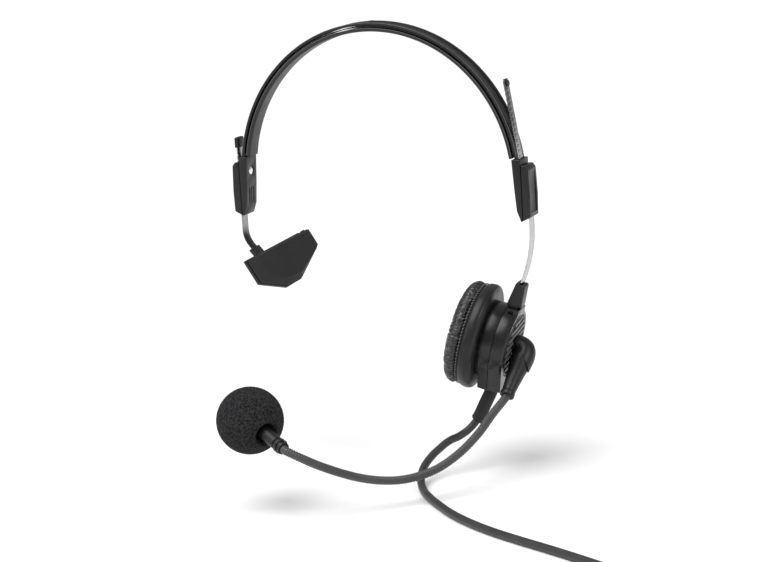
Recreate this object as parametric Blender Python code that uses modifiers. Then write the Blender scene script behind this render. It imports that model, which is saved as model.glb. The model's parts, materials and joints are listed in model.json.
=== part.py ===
"""Single-sided headset: sprung headband with two clamps, a temple pad on a
sliding steel strap, one earphone on a second notched strap, and a gooseneck
boom with a foam windscreen. The cord runs along the table to a round coil and
ends in a locking round connector.

Frame: upright, as worn. +Z is up, +X points to the earphone side and -Y to the
front of the head. The origin is on the inside of the headband at its crown.
Run with: blender --background --python part.py
"""
import math

import bmesh
import bpy
from mathutils import Euler, Matrix, Vector

MM = 0.001

# ---- driving dimensions, in millimetres -------------------------------------
ARCH_HALF_WIDTH = 82.5      # middle of the band to the plane of symmetry
ARCH_HEIGHT = 84.7          # middle of the band above the arch's centre
BAND_WIDTH = 11.5
BAND_THICKNESS = 5.1
OUTER_LAYER = 1.6
SPRING_STRIP = 0.6
INNER_LAYER = 2.0
CHANNEL_WIDTH = 7.0         # recess along the outer layer, where the strap lies
CHANNEL_DEPTH = 0.8
CLAMP_HALF_DEPTH = 6.5
STRAP_WIDTH = 6.5
STRAP_THICKNESS = 0.8
STRAP_LEAN = 8.8            # degrees, earphone strap above the clamp
NOTCH_PITCH = 2.9
NOTCH_DEPTH = 0.5
GAP = 0.3                   # between neighbouring pieces

CUP_CENTRE = (55.2, -2.0, -170.0)
CUP_TILT = 15.6             # degrees, the earphone leans in at its foot
CUP_SWING = 5.5             # degrees, the earphone turns towards the back
RING_RADIUS = 30.0
CUSHION_RADIUS = 28.5
CUSHION_HOLE = 12.5
DRUM_RADIUS = 21.8
GRILLE_RADIUS = 17.5
OUTER_FACE = 20.5           # outer face of the earphone, along its axis

TILT_PIN = (16.5, 19.8)     # along the earphone's axis, and above it
FIN_FOOT_RADIUS = 2.5
BOOM_ANGLE = 45.0           # degrees, boom forward of straight down
SLEEVE_END = 30.0
GOOSENECK_DIAMETER = 4.8

BOOT_INNER_END = (13.4, 0.0, -24.0)     # in the earphone's own frame
BOOT_END = (52.7, -4.0, -218.1)         # where the cord leaves the strain relief

TEMPLE_STRAP_X = -88.1
PAD_PIVOT = (-78.5, 0.0, -130.0)
PAD_TURN = (6.5, -30.8, -9.9)   # degrees about X, Y and Z
STRAP_END_LEAN = 41.6       # degrees, foot of the temple strap

TABLE_Z = -245.0            # the surface that the cord lies on
CORD_DIAMETER = 4.4
COIL_CENTRE = (206.0, -205.5)
COIL_MEAN_RADIUS = 25.0
COIL_TURNS_WIDE = 4
COIL_LAYERS = 2
CONNECTOR_RADIUS = 9.4
LATCH_ROLL = 0.0            # degrees about the connector, from straight up

# ---- worked out --------------------------------------------------------------
ARCH_Z = BAND_THICKNESS / 2 - ARCH_HEIGHT
LEAN = math.radians(STRAP_LEAN)
CORD_Z = TABLE_Z + CORD_DIAMETER / 2

# name: (red, green, blue, roughness, metallic)
MATERIALS = {
    "black_plastic": (0.022, 0.022, 0.024, 0.45, 0.0),
    "grey_plastic": (0.055, 0.055, 0.058, 0.50, 0.0),
    "pad_rubber": (0.050, 0.050, 0.053, 0.60, 0.0),
    "spring_steel": (0.58, 0.58, 0.57, 0.30, 1.0),
    "rivet_steel": (0.72, 0.72, 0.71, 0.22, 1.0),
    "brass": (0.62, 0.47, 0.22, 0.30, 1.0),
    "leatherette": (0.020, 0.020, 0.021, 0.55, 0.0),
    "foam": (0.016, 0.016, 0.017, 0.95, 0.0),
    "boom_jacket": (0.045, 0.046, 0.048, 0.55, 0.0),
    "cord_jacket": (0.030, 0.030, 0.031, 0.50, 0.0),
    "rubber": (0.024, 0.024, 0.025, 0.70, 0.0),
    "nickel": (0.60, 0.59, 0.57, 0.28, 1.0),
    "magnet": (0.20, 0.20, 0.21, 0.40, 1.0),
    "film": (0.55, 0.52, 0.44, 0.35, 0.0),
    "board": (0.03, 0.12, 0.05, 0.50, 0.0),
}


# ---- scene set-up ------------------------------------------------------------
def clear_scene():
    for old in list(bpy.data.objects):
        bpy.data.objects.remove(old, do_unlink=True)


def make_collection(name):
    collection = bpy.data.collections.new(name)
    bpy.context.scene.collection.children.link(collection)
    return collection


def make_material(name):
    red, green, blue, roughness, metallic = MATERIALS[name]
    material = bpy.data.materials.new(name)
    material.use_nodes = True
    shader = material.node_tree.nodes["Principled BSDF"]
    shader.inputs["Base Color"].default_value = (red, green, blue, 1.0)
    shader.inputs["Roughness"].default_value = roughness
    shader.inputs["Metallic"].default_value = metallic
    return material


clear_scene()
PARTS = make_collection("office_headset")
CUTTERS = make_collection("cutters")
FINISH = {name: make_material(name) for name in MATERIALS}


def joint_frame(name, matrix):
    """An empty on a joint's axis, that the moving pieces are parented to."""
    empty = bpy.data.objects.new(name, None)
    empty.empty_display_size = 10 * MM
    empty.matrix_world = matrix
    CUTTERS.objects.link(empty)
    return empty


def turn(angle, axis):
    return Matrix.Rotation(math.radians(angle), 4, axis)


def shift(x, y, z):
    return Matrix.Translation(Vector((x, y, z)) * MM)


ALONG_X = turn(90, "Y")     # takes a turned piece's own Z to +X
ALONG_Y = turn(-90, "X")    # takes it to +Y
FLAT_XZ = turn(90, "X")     # takes an outline's own XY to XZ

CUP = shift(*CUP_CENTRE) @ turn(CUP_SWING, "Z") @ turn(CUP_TILT, "Y")
BOOM = CUP @ turn(-BOOM_ANGLE, "X")
PIN = CUP @ shift(TILT_PIN[0], 0, TILT_PIN[1])
PAD = shift(*PAD_PIVOT) @ Euler([math.radians(a) for a in PAD_TURN], "XYZ").to_matrix().to_4x4()
WORLD = Matrix.Identity(4)

cup_axis = joint_frame("cup_axis", CUP)
tilt_axis = joint_frame("tilt_axis", PIN)
boom_axis = joint_frame("boom_axis", BOOM)
pad_axis = joint_frame("pad_axis", shift(*PAD_PIVOT))
earphone_slide = joint_frame("earphone_slide", shift(86, 0, -87) @ turn(-STRAP_LEAN, "Y"))
temple_slide = joint_frame("temple_slide", shift(TEMPLE_STRAP_X, 0, -87))


# ---- modelling tools ---------------------------------------------------------
def finish(obj, finish_name, frame, parent=None, sharp=40):
    """Put a piece in the parts collection, at a place given in world terms."""
    if obj.type == "MESH":
        obj.data.shade_smooth()
        obj.data.set_sharp_from_angle(angle=math.radians(sharp))
    obj.data.materials.clear()
    obj.data.materials.append(FINISH[finish_name])
    PARTS.objects.link(obj)
    obj.parent = parent
    inverse = parent.matrix_world.inverted() if parent else Matrix.Identity(4)
    obj.matrix_basis = inverse @ frame
    return obj


def cutter(obj, frame):
    CUTTERS.objects.link(obj)
    obj.hide_render = True
    obj.display_type = "WIRE"
    obj.matrix_basis = frame
    return obj


def boolean(obj, tool, operation="DIFFERENCE"):
    step = obj.modifiers.new(operation.lower(), "BOOLEAN")
    step.operation = operation
    step.solver = "EXACT"
    step.object = tool


def bevel(obj, width, segments=1, angle=35):
    step = obj.modifiers.new("bevel", "BEVEL")
    step.width = width * MM
    step.segments = segments
    step.limit_method = "ANGLE"
    step.angle_limit = math.radians(angle)


def from_bmesh(name, shape):
    mesh = bpy.data.meshes.new(name)
    shape.to_mesh(mesh)
    shape.free()
    return bpy.data.objects.new(name, mesh)


def box(name, low, high):
    shape = bmesh.new()
    bmesh.ops.create_cube(shape, size=1.0)
    for vertex in shape.verts:
        for axis in range(3):
            middle = (low[axis] + high[axis]) / 2
            vertex.co[axis] = (middle + vertex.co[axis] * (high[axis] - low[axis])) * MM
    return from_bmesh(name, shape)


def cylinder(name, radius, start, end, segments=24, end_radius=None):
    """A cylinder, or a cone, about its own Z from start to end."""
    shape = bmesh.new()
    top = radius if end_radius is None else end_radius
    bmesh.ops.create_cone(shape, cap_ends=True, segments=segments, radius1=radius * MM,
                          radius2=top * MM, depth=(end - start) * MM)
    bmesh.ops.translate(shape, verts=shape.verts, vec=(0, 0, (start + end) / 2 * MM))
    return from_bmesh(name, shape)


def turned(name, profile, closed=False, steps=36):
    """Turn (radius, height) points about Z; the outer side runs downwards."""
    shape = bmesh.new()
    points = [shape.verts.new((radius * MM, 0, height * MM)) for radius, height in profile]
    for first, second in zip(points, points[1:]):
        shape.edges.new((first, second))
    if closed:
        shape.edges.new((points[-1], points[0]))
    obj = from_bmesh(name, shape)
    step = obj.modifiers.new("screw", "SCREW")
    step.steps = steps
    step.render_steps = steps
    step.use_merge_vertices = True
    step.merge_threshold = 0.000001
    step.use_smooth_shade = True
    return obj


def tube_wall(name, outer, inner, start, end, steps=36):
    return turned(name, [(outer, end), (outer, start), (inner, start), (inner, end)], True, steps)


def prism(name, outline, low, high):
    """A flat outline in its own XY, from low to high along its own Z."""
    curve = bpy.data.curves.new(name, "CURVE")
    curve.dimensions = "2D"
    curve.fill_mode = "BOTH"
    curve.extrude = (high - low) / 2 * MM
    spline = curve.splines.new("POLY")
    spline.points.add(len(outline) - 1)
    for point, (x, y) in zip(spline.points, outline):
        point.co = (x * MM, y * MM, 0, 1)
    spline.use_cyclic_u = True
    return curve_to_mesh(name, curve, Matrix.Translation((0, 0, (high + low) / 2 * MM)))


def curve_to_mesh(name, curve, moved):
    holder = bpy.data.objects.new(name + "_curve", curve)
    bpy.context.scene.collection.objects.link(holder)
    bpy.context.view_layer.update()
    evaluated = holder.evaluated_get(bpy.context.evaluated_depsgraph_get())
    mesh = bpy.data.meshes.new_from_object(evaluated)
    shape = bmesh.new()
    shape.from_mesh(mesh)
    bmesh.ops.remove_doubles(shape, verts=shape.verts, dist=0.000001)
    bmesh.ops.transform(shape, matrix=moved, verts=shape.verts)
    bpy.data.objects.remove(holder, do_unlink=True)
    return from_bmesh(name, shape)


def tube(name, points, diameter):
    """A round solid along points given in world millimetres."""
    curve = bpy.data.curves.new(name, "CURVE")
    curve.dimensions = "3D"
    curve.bevel_depth = diameter / 2 * MM
    curve.bevel_resolution = 2
    curve.use_fill_caps = True
    curve.render_resolution_u = 0
    spline = curve.splines.new("POLY")
    spline.points.add(len(points) - 1)
    for point, place in zip(spline.points, points):
        point.co = (place[0] * MM, place[1] * MM, place[2] * MM, 1)
    return bpy.data.objects.new(name, curve)


def smooth_route(points, spacing):
    """Points at an even spacing on a smooth curve through the given ones."""
    knots = [Vector(point) for point in points]
    fine = []
    for index in range(len(knots) - 1):
        before = knots[max(index - 1, 0)]
        start = knots[index]
        end = knots[index + 1]
        after = knots[min(index + 2, len(knots) - 1)]
        leave = (end - before) / 2
        arrive = (after - start) / 2
        for step in range(20):
            t = step / 20
            fine.append(start * (2 * t**3 - 3 * t**2 + 1) + leave * (t**3 - 2 * t**2 + t)
                        + end * (3 * t**2 - 2 * t**3) + arrive * (t**3 - t**2))
    fine.append(knots[-1])
    travelled = [0.0]
    for first, second in zip(fine, fine[1:]):
        travelled.append(travelled[-1] + (second - first).length)
    count = max(2, round(travelled[-1] / spacing))
    route = []
    place = 0
    for number in range(count + 1):
        target = travelled[-1] * number / count
        while place < len(fine) - 2 and travelled[place + 1] < target:
            place += 1
        span = travelled[place + 1] - travelled[place]
        route.append(fine[place].lerp(fine[place + 1], (target - travelled[place]) / span))
    return route


# ---- headband ----------------------------------------------------------------
def arch_strip(name, offset, thickness, width, end_angle, segments=32):
    """One layer of the band: an elliptical strip, offset outwards from the middle."""
    shape = bmesh.new()
    rows = []
    for index in range(segments + 1):
        angle = math.radians(end_angle * (2 * index / segments - 1))
        x = (ARCH_HALF_WIDTH + offset) * math.sin(angle)
        z = ARCH_Z + (ARCH_HEIGHT + offset) * math.cos(angle)
        rows.append([shape.verts.new((x * MM, y * MM, z * MM)) for y in (-width / 2, width / 2)])
    for first, second in zip(rows, rows[1:]):
        shape.faces.new((first[0], first[1], second[1], second[0]))
    obj = from_bmesh(name, shape)
    step = obj.modifiers.new("thickness", "SOLIDIFY")
    step.thickness = thickness * MM
    step.offset = 0
    return obj


def make_band():
    half = BAND_THICKNESS / 2
    outer_end = 90
    outer = arch_strip("band_outer_layer", half - OUTER_LAYER / 2, OUTER_LAYER, BAND_WIDTH - 0.5,
                       outer_end)
    channel = arch_strip("channel_cutter", half - CHANNEL_DEPTH + 1, 2, CHANNEL_WIDTH, outer_end + 2)
    boolean(outer, cutter(channel, WORLD))
    spring = arch_strip("band_spring_strip", 0.2, SPRING_STRIP, BAND_WIDTH - 3.5, 80)
    inner = arch_strip("band_inner_layer", INNER_LAYER / 2 - half, INNER_LAYER, BAND_WIDTH, 81.6)
    bevel(inner, 0.5)
    crown_hole = cutter(cylinder("crown_hole_cutter", 1.6, -2, 8), WORLD)
    for layer in (outer, spring, inner):
        boolean(layer, crown_hole)
    for side in (1, -1):
        hole = cylinder(f"band_end_hole_cutter_{side}", 1.5, 80, 88, 16)
        boolean(outer, cutter(hole, shift(0, 0, RIVET_Z) @ turn(90 * side, "Y")))
    finish(outer, "black_plastic", WORLD, earphone_slide)
    finish(spring, "spring_steel", WORLD, earphone_slide)
    finish(inner, "grey_plastic", WORLD, earphone_slide)
    rivet = turned("crown_rivet", [(0, 5.7), (1.6, 5.6), (2.4, 5.1), (2.4, 4.6), (1.2, 4.6),
                                   (1.2, 0.5), (0, 0.5)], steps=20)
    finish(rivet, "black_plastic", WORLD, earphone_slide)


# ---- clamps ------------------------------------------------------------------
RIVET_Z = -79.0
BLOCK_OUTLINE = [(81.0, -70.4), (86.0, -70.4), (86.0, -104.3), (85.2, -104.6), (82.9, -98.5),
                 (81.9, -86.0)]
COVER_OUTLINE = [(86.3, -73.6), (88.8, -73.6), (90.3, -75.8), (90.9, -90.0), (90.6, -102.0),
                 (86.3, -104.1)]


def earphone_strap_x(z):
    """Middle of the straight part of the earphone strap."""
    return 84.15 + (-71.0 - z) * math.tan(LEAN)


def strap_passage(name, side):
    """The slots that a strap slides in: a close one, and on the earphone side a wider one at
    the foot, where the strap's bend comes in."""
    half_width = STRAP_WIDTH / 2 + GAP
    slot = box(name, (-0.9, -half_width, -24), (0.9, half_width, 24))
    if side < 0:
        return [cutter(slot, shift(TEMPLE_STRAP_X, 0, -87))]
    along_strap = shift(earphone_strap_x(-87), 0, -87) @ turn(-STRAP_LEAN, "Y")
    foot = box(name + "_foot", (-2.5, -half_width, -24), (0.5, half_width, -8))
    return [cutter(slot, along_strap), cutter(foot, along_strap)]


def make_clamp(side, name):
    mirrored = [(side * x, z) for x, z in BLOCK_OUTLINE]
    block = prism(name + "_block", mirrored, -CLAMP_HALF_DEPTH, CLAMP_HALF_DEPTH)
    bevel(block, 0.25)
    cover = prism(name + "_cover", [(side * x, z) for x, z in COVER_OUTLINE],
                  -CLAMP_HALF_DEPTH, CLAMP_HALF_DEPTH)
    bevel(cover, 0.3)

    slide = strap_passage(name + "_passage_cutter", side)
    spring_x = side * earphone_strap_x(-90) if side > 0 else TEMPLE_STRAP_X
    pocket = cutter(box(name + "_spring_pocket_cutter", (spring_x - 1.5, -5.7, -96.5),
                        (spring_x + 1.5, -3.4, -83.5)), WORLD)
    band_slot = cutter(arch_strip(name + "_band_slot_cutter", BAND_THICKNESS / 2 - OUTER_LAYER / 2,
                                  OUTER_LAYER + 2 * GAP, BAND_WIDTH - 0.5 + 2 * GAP, 90.3), WORLD)
    rivet_hole = cutter(cylinder(name + "_rivet_cutter", 1.5, 80, 86, 16),
                        shift(0, 0, RIVET_Z) @ turn(90 * side, "Y"))
    rivet_recess = cutter(cylinder(name + "_recess_cutter", 2.8, 80, 82.4, 24),
                          shift(0, 0, RIVET_Z) @ turn(90 * side, "Y"))
    for tool in (*slide, pocket, band_slot, rivet_hole, rivet_recess):
        boolean(block, tool)
    for number, y in enumerate((-2.5, 0, 2.5)):
        slot = box(f"{name}_slot_cutter_{number}", sorted_low(side * 80, side * 83, y - 0.5, -99),
                   sorted_high(side * 80, side * 83, y + 0.5, -88.5))
        boolean(block, cutter(slot, WORLD))
    panel = box(name + "_panel_cutter", sorted_low(side * 90.1, side * 93, -4.6, -99.5),
                sorted_high(side * 90.1, side * 93, 4.6, -77.5))
    for tool in (*slide, pocket, cutter(panel, WORLD)):
        boolean(cover, tool)
    finish(block, "black_plastic", FLAT_XZ, earphone_slide)
    finish(cover, "grey_plastic", FLAT_XZ, earphone_slide)

    rivet = turned(name + "_rivet", [(0, 2.7), (1.2, 2.7), (1.2, 0.75), (2.3, 0.75), (2.3, 0.4),
                                     (1.2, 0.0), (0, 0.0)], steps=20)
    finish(rivet, "rivet_steel", shift(side * 81.35, 0, RIVET_Z) @ turn(90 * side, "Y"), earphone_slide)

    leaf = bmesh.new()
    rows = []
    for index in range(9):
        height = -5.5 + index * 11 / 8
        bow = -5.2 + 1.35 * math.cos(math.pi * height / 11)
        rows.append([leaf.verts.new((x * MM, bow * MM, height * MM)) for x in (-0.7, 0.7)])
    for first, second in zip(rows, rows[1:]):
        leaf.faces.new((first[0], first[1], second[1], second[0]))
    spring = from_bmesh(name + "_detent_spring", leaf)
    step = spring.modifiers.new("thickness", "SOLIDIFY")
    step.thickness = 0.3 * MM
    step.offset = 0
    finish(spring, "spring_steel", shift(spring_x, 0, -90), earphone_slide)


def sorted_low(x1, x2, y, z):
    return (min(x1, x2), y, z)


def sorted_high(x1, x2, y, z):
    return (max(x1, x2), y, z)


# ---- straps ------------------------------------------------------------------
def strap_path(legs):
    """Centre line (x, z) and length travelled from ("line", length) and ("arc", radius,
    degrees) legs. It starts at the first entry's point and heading from straight down."""
    (x, z, heading), *moves = legs
    heading = math.radians(heading)
    path = [(0.0, x, z)]
    for kind, *values in moves:
        steps = 1 if kind == "line" else max(2, round(abs(values[1]) / 4))
        for _ in range(steps):
            if kind == "line":
                length = values[0]
                bend = 0.0
            else:
                bend = math.radians(values[1]) / steps
                length = abs(values[0] * bend)
            heading += bend / 2
            x += length * math.sin(heading)
            z -= length * math.cos(heading)
            heading += bend / 2
            path.append((path[-1][0] + length, x, z))
    return path


def point_on(path, travelled):
    for (start, x1, z1), (end, x2, z2) in zip(path, path[1:]):
        if travelled <= end:
            t = (travelled - start) / (end - start)
            return x1 + (x2 - x1) * t, z1 + (z2 - z1) * t
    return path[-1][1:]


def make_strap(name, legs, notch_start, notch_end, parent):
    """A steel strip along a path, with a row of notches down its front edge."""
    path = strap_path(legs)
    stations = {entry[0]: 0.0 for entry in path}
    count = int((notch_end - notch_start) / NOTCH_PITCH)
    for number in range(count):
        start = notch_start + number * NOTCH_PITCH
        for share, depth in ((0.0, 0.0), (0.4, 1.0), (0.55, 0.0)):
            stations[start + share * NOTCH_PITCH] = depth * NOTCH_DEPTH
    shape = bmesh.new()
    rows = []
    for travelled in sorted(stations):
        x, z = point_on(path, travelled)
        front = stations[travelled] - STRAP_WIDTH / 2
        rows.append([shape.verts.new((x * MM, y * MM, z * MM)) for y in (front, STRAP_WIDTH / 2)])
    for first, second in zip(rows, rows[1:]):
        shape.faces.new((first[0], first[1], second[1], second[0]))
    strap = from_bmesh(name, shape)
    step = strap.modifiers.new("thickness", "SOLIDIFY")
    step.thickness = STRAP_THICKNESS * MM
    step.offset = 0
    finish(strap, "spring_steel", WORLD, parent)
    return path


def make_earphone_strap():
    top = (earphone_strap_x(-27), -27.0, STRAP_LEAN)
    bend = -(STRAP_LEAN + 23)
    legs = [top, ("line", 69 / math.cos(LEAN)), ("arc", 76, bend), ("line", 3.2)]
    make_strap("earphone_strap", legs, 6, 68, tilt_axis)
    tip = turned("earphone_strap_stop", [(0, 1.6), (1.5, 1.6), (2.0, 1.1), (2.0, 0.7), (0, 0.7)],
                 steps=16)
    x = earphone_strap_x(-29.5)
    finish(tip, "rivet_steel", shift(x, 0, -29.5) @ turn(-STRAP_LEAN, "Y") @ ALONG_X, tilt_axis)


def make_temple_strap():
    legs = [(TEMPLE_STRAP_X, -60.6, 0), ("line", 52.9), ("arc", 14, STRAP_END_LEAN), ("line", 6.0)]
    make_strap("temple_strap", legs, 8, 44, temple_slide)
    stop = box("temple_strap_stop", (-1.2, -3.8, -5.0), (1.2, 3.8, 1.0))
    bevel(stop, 0.4)
    slot = box("temple_stop_cutter", (-0.7, -3.6, -8), (0.7, 3.6, 0.3))
    place = shift(TEMPLE_STRAP_X, 0, -60.6)
    boolean(stop, cutter(slot, place))
    finish(stop, "black_plastic", place, temple_slide)

    knuckle_frame = shift(*PAD_PIVOT) @ turn(-STRAP_END_LEAN, "Y")
    knuckle = box("temple_strap_knuckle", (-1.7, -4.0, 0.0), (1.7, 4.0, 7.5))
    barrel = cylinder("knuckle_barrel_cutter", 2.7, -4.0, 4.0, 20)
    boolean(knuckle, cutter(barrel, knuckle_frame @ ALONG_Y), "UNION")
    bore = cylinder("knuckle_bore_cutter", 1.25, -6, 6, 16)
    boolean(knuckle, cutter(bore, knuckle_frame @ ALONG_Y))
    mouth = box("knuckle_slot_cutter", (-0.75, -3.55, 3.2), (0.75, 3.55, 9.0))
    boolean(knuckle, cutter(mouth, knuckle_frame))
    finish(knuckle, "black_plastic", knuckle_frame, temple_slide)


# ---- temple pad --------------------------------------------------------------
PAD_OUTLINE = [(-21.5, 1.7), (34.4, 1.7), (35.2, 0.7), (36.4, 0.7), (37.2, 1.7), (40.4, 1.7),
               (40.4, -9.8), (37.4, -12.0), (13.5, -21.6), (-1.5, -21.8), (-21.5, -13.0)]


def grown(outline, amount):
    """The outline moved out from its middle by about an amount."""
    middle_x = (min(x for x, y in outline) + max(x for x, y in outline)) / 2
    middle_y = (min(y for x, y in outline) + max(y for x, y in outline)) / 2
    half_x = max(x for x, y in outline) - middle_x
    half_y = max(y for x, y in outline) - middle_y
    return [(middle_x + (x - middle_x) * (1 + amount / half_x),
             middle_y + (y - middle_y) * (1 + amount / half_y)) for x, y in outline]


def make_temple_pad():
    # an outline's own X runs along the pad, its Y up the pad and its Z out of the face
    lay = PAD @ Matrix(((0, 0, 1, 0), (1, 0, 0, 0), (0, 1, 0, 0), (0, 0, 0, 1)))
    holder = prism("temple_pad_holder", grown(PAD_OUTLINE, 0.7), 3.6, 5.6)
    bevel(holder, 0.4)
    pin_frame = shift(*PAD_PIVOT)
    for number, y in enumerate((-6.3, 4.4)):
        ear = box(f"pad_ear_cutter_{number}", (-2.6, y, -2.6), (4.6, y + 1.9, 2.6))
        boolean(holder, cutter(ear, pin_frame @ turn(PAD_TURN[1], "Y")), "UNION")
    bore = cylinder("pad_bore_cutter", 1.25, -8, 8, 16)
    boolean(holder, cutter(bore, pin_frame @ ALONG_Y))
    finish(holder, "grey_plastic", lay, pad_axis)
    pin = cylinder("temple_pad_pin", 0.95, -6.6, 6.6, 16)
    finish(pin, "rivet_steel", pin_frame @ ALONG_Y, pad_axis)
    pad = prism("temple_pad", PAD_OUTLINE, 5.9, 9.4)
    bevel(pad, 1.2, 2)
    finish(pad, "pad_rubber", lay, pad_axis)


# ---- earphone ----------------------------------------------------------------
def make_cushion():
    ring = turned("cushion_ring", [(20.2, 5.2), (26.5, 5.2), (29.0, 4.0), (RING_RADIUS, 1.6),
                                   (29.6, -1.6), (28.2, -3.0), (18.8, -3.0), (18.8, 5.2)], True, 36)
    finish(ring, "black_plastic", CUP @ ALONG_X, cup_axis)
    cushion = turned("ear_cushion", [(CUSHION_RADIUS - 1.5, -3.4), (CUSHION_RADIUS, -5.4),
                                     (CUSHION_RADIUS - 0.6, -8.4), (CUSHION_RADIUS - 3.6, -10.8),
                                     (20.5, -11.6), (15.5, -10.6), (CUSHION_HOLE, -7.6),
                                     (CUSHION_HOLE + 0.6, -3.4)], True, 32)
    finish(cushion, "leatherette", CUP @ ALONG_X, cup_axis)
    baffle = cylinder("baffle", 18.4, -2.6, -1.2, 24)
    for number in range(7):
        angle = math.radians(60 * number)
        reach = 0 if number == 6 else 7.5
        hole = cylinder(f"baffle_hole_cutter_{number}", 1.6, -4, 0, 10)
        boolean(baffle, cutter(hole, CUP @ shift(0, reach * math.cos(angle), reach * math.sin(angle))
                               @ ALONG_X))
    finish(baffle, "black_plastic", CUP @ ALONG_X, cup_axis)


def make_driver():
    frame = tube_wall("driver_frame", 18.2, 15.4, -0.8, 2.2, 36)
    finish(frame, "grey_plastic", CUP @ ALONG_X, cup_axis)
    film = turned("driver_diaphragm", [(0, 1.0), (5.0, 0.4), (9.0, 0.9), (14.9, 0.0), (14.9, -0.5),
                                       (9.0, 0.4), (5.0, -0.1), (0, 0.5)], steps=28)
    finish(film, "film", CUP @ ALONG_X, cup_axis)
    coil = tube_wall("driver_voice_coil", 5.2, 4.5, 1.4, 3.6, 24)
    finish(coil, "brass", CUP @ ALONG_X, cup_axis)
    magnet = cylinder("driver_magnet", 9.0, 4.0, 7.2, 28)
    finish(magnet, "magnet", CUP @ ALONG_X, cup_axis)


SCREW_PLACES = ((-4.6, -25.0), (4.6, -25.0))


def make_housing():
    step = 12.9
    inner = tube_wall("inner_housing", DRUM_RADIUS, 19.6, 5.6, step, 36)
    chin = box("inner_chin_cutter", (7.6, -8.5, -30.5), (step, 8.5, -18.5))
    frame = cutter(chin, CUP)
    bevel(chin, 0.35)
    boolean(inner, frame, "UNION")
    throat = box("throat_cutter", (8.9, -6.0, -28.6), (19.0, 6.0, -15.0))
    throat_frame = cutter(throat, CUP)
    boolean(inner, throat_frame)
    boot_place, boot_length = boot_frame_and_length()
    boot_hole = cylinder("boot_hole_cutter", 4.15, 8, boot_length + 1, 20)
    boot_frame = cutter(boot_hole, boot_place)
    boolean(inner, boot_frame)
    for number, (y, z) in enumerate(SCREW_PLACES):
        hole = cylinder(f"screw_hole_cutter_{number}", 1.3, 5, 10, 14)
        boolean(inner, cutter(hole, CUP @ shift(0, y, z) @ ALONG_X))
    finish(inner, "black_plastic", CUP @ ALONG_X, cup_axis)

    outer = turned("outer_housing", [(18.0, OUTER_FACE), (20.4, OUTER_FACE), (21.3, 19.6),
                                     (DRUM_RADIUS, step + GAP), (19.6, step + GAP), (19.6, 18.9),
                                     (18.0, 18.9)], True, 36)
    chin = box("outer_chin_cutter", (step + GAP, -8.5, -30.5), (OUTER_FACE, 8.5, -17.6))
    bevel(chin, 0.35)
    boolean(outer, cutter(chin, CUP), "UNION")
    crown = box("outer_crown_cutter", (step + GAP, -7.4, 17.1), (OUTER_FACE, 7.4, 22.0))
    boolean(outer, cutter(crown, CUP), "UNION")
    seat = cylinder("fin_seat_cutter", FIN_FOOT_RADIUS + 0.5, -4.9, 4.9, 32)
    boolean(outer, cutter(seat, PIN @ ALONG_Y))
    boolean(outer, cutter(box("fin_neck_cutter", (-3.0, -4.9, 0.0), (3.0, 4.9, 5.0)), PIN))
    pin_bore = cylinder("pin_bore_cutter", 1.3, -9, 9, 16)
    boolean(outer, cutter(pin_bore, PIN @ ALONG_Y))
    grille_seat = cylinder("grille_seat_cutter", GRILLE_RADIUS + GAP, 18.3, 24, 36)
    boolean(outer, cutter(grille_seat, CUP @ ALONG_X))
    boolean(outer, throat_frame)
    boolean(outer, boot_frame)
    finish(outer, "black_plastic", CUP @ ALONG_X, cup_axis)

    pin = cylinder("tilt_pin", 1.0, -6.9, 6.9, 16)
    finish(pin, "rivet_steel", PIN @ ALONG_Y, cup_axis)


def boot_frame_and_length():
    """The strain relief's frame: origin where the cord leaves it, +Z into the housing."""
    inner_end = CUP @ (Vector(BOOT_INNER_END) * MM)
    length = (inner_end - Vector(BOOT_END) * MM).length / MM
    direction = (inner_end - Vector(BOOT_END) * MM).normalized()
    rotation = direction.to_track_quat("Z", "Y").to_matrix().to_4x4()
    return shift(*BOOT_END) @ rotation, length


def make_grille():
    grille = cylinder("grille", GRILLE_RADIUS, 18.6, 20.9, 36)
    boolean(grille, cutter(cylinder("grille_pivot_cutter", 4.6, 17, 23, 24), CUP @ ALONG_X))
    pitch = 3.0
    for number in range(-5, 6):
        offset = number * pitch
        reach = math.sqrt(max(0.0, (GRILLE_RADIUS - 1.4)**2 - (abs(offset) + 0.7)**2))
        gaps = [(-reach, reach)]
        boss = 6.2
        if abs(offset) < boss + 0.7:
            edge = math.sqrt(max(0.0, boss**2 - max(0.0, abs(offset) - 0.7)**2))
            gaps = [(-reach, -edge - 0.6), (edge + 0.6, reach)]
        for part, (low, high) in enumerate(gaps):
            if high - low > 1.5:
                slot = box(f"grille_slot_cutter_{number}_{part}", (19.4, low, offset - 0.7),
                           (23, high, offset + 0.7))
                boolean(grille, cutter(slot, CUP @ turn(10, "X")))
    finish(grille, "black_plastic", CUP @ ALONG_X, cup_axis)
    board = box("wiring_board", (9.6, -9.0, -9.0), (10.8, 9.0, 4.0))
    finish(board, "board", CUP, cup_axis)
    disc = tube_wall("grille_foam", 16.8, 7.6, 16.0, 18.0, 28)
    finish(disc, "foam", CUP @ ALONG_X, cup_axis)
    bush = tube_wall("boom_bush", 7.2, 4.6, 14.6, 18.3, 28)
    finish(bush, "grey_plastic", CUP @ ALONG_X, cup_axis)


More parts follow.
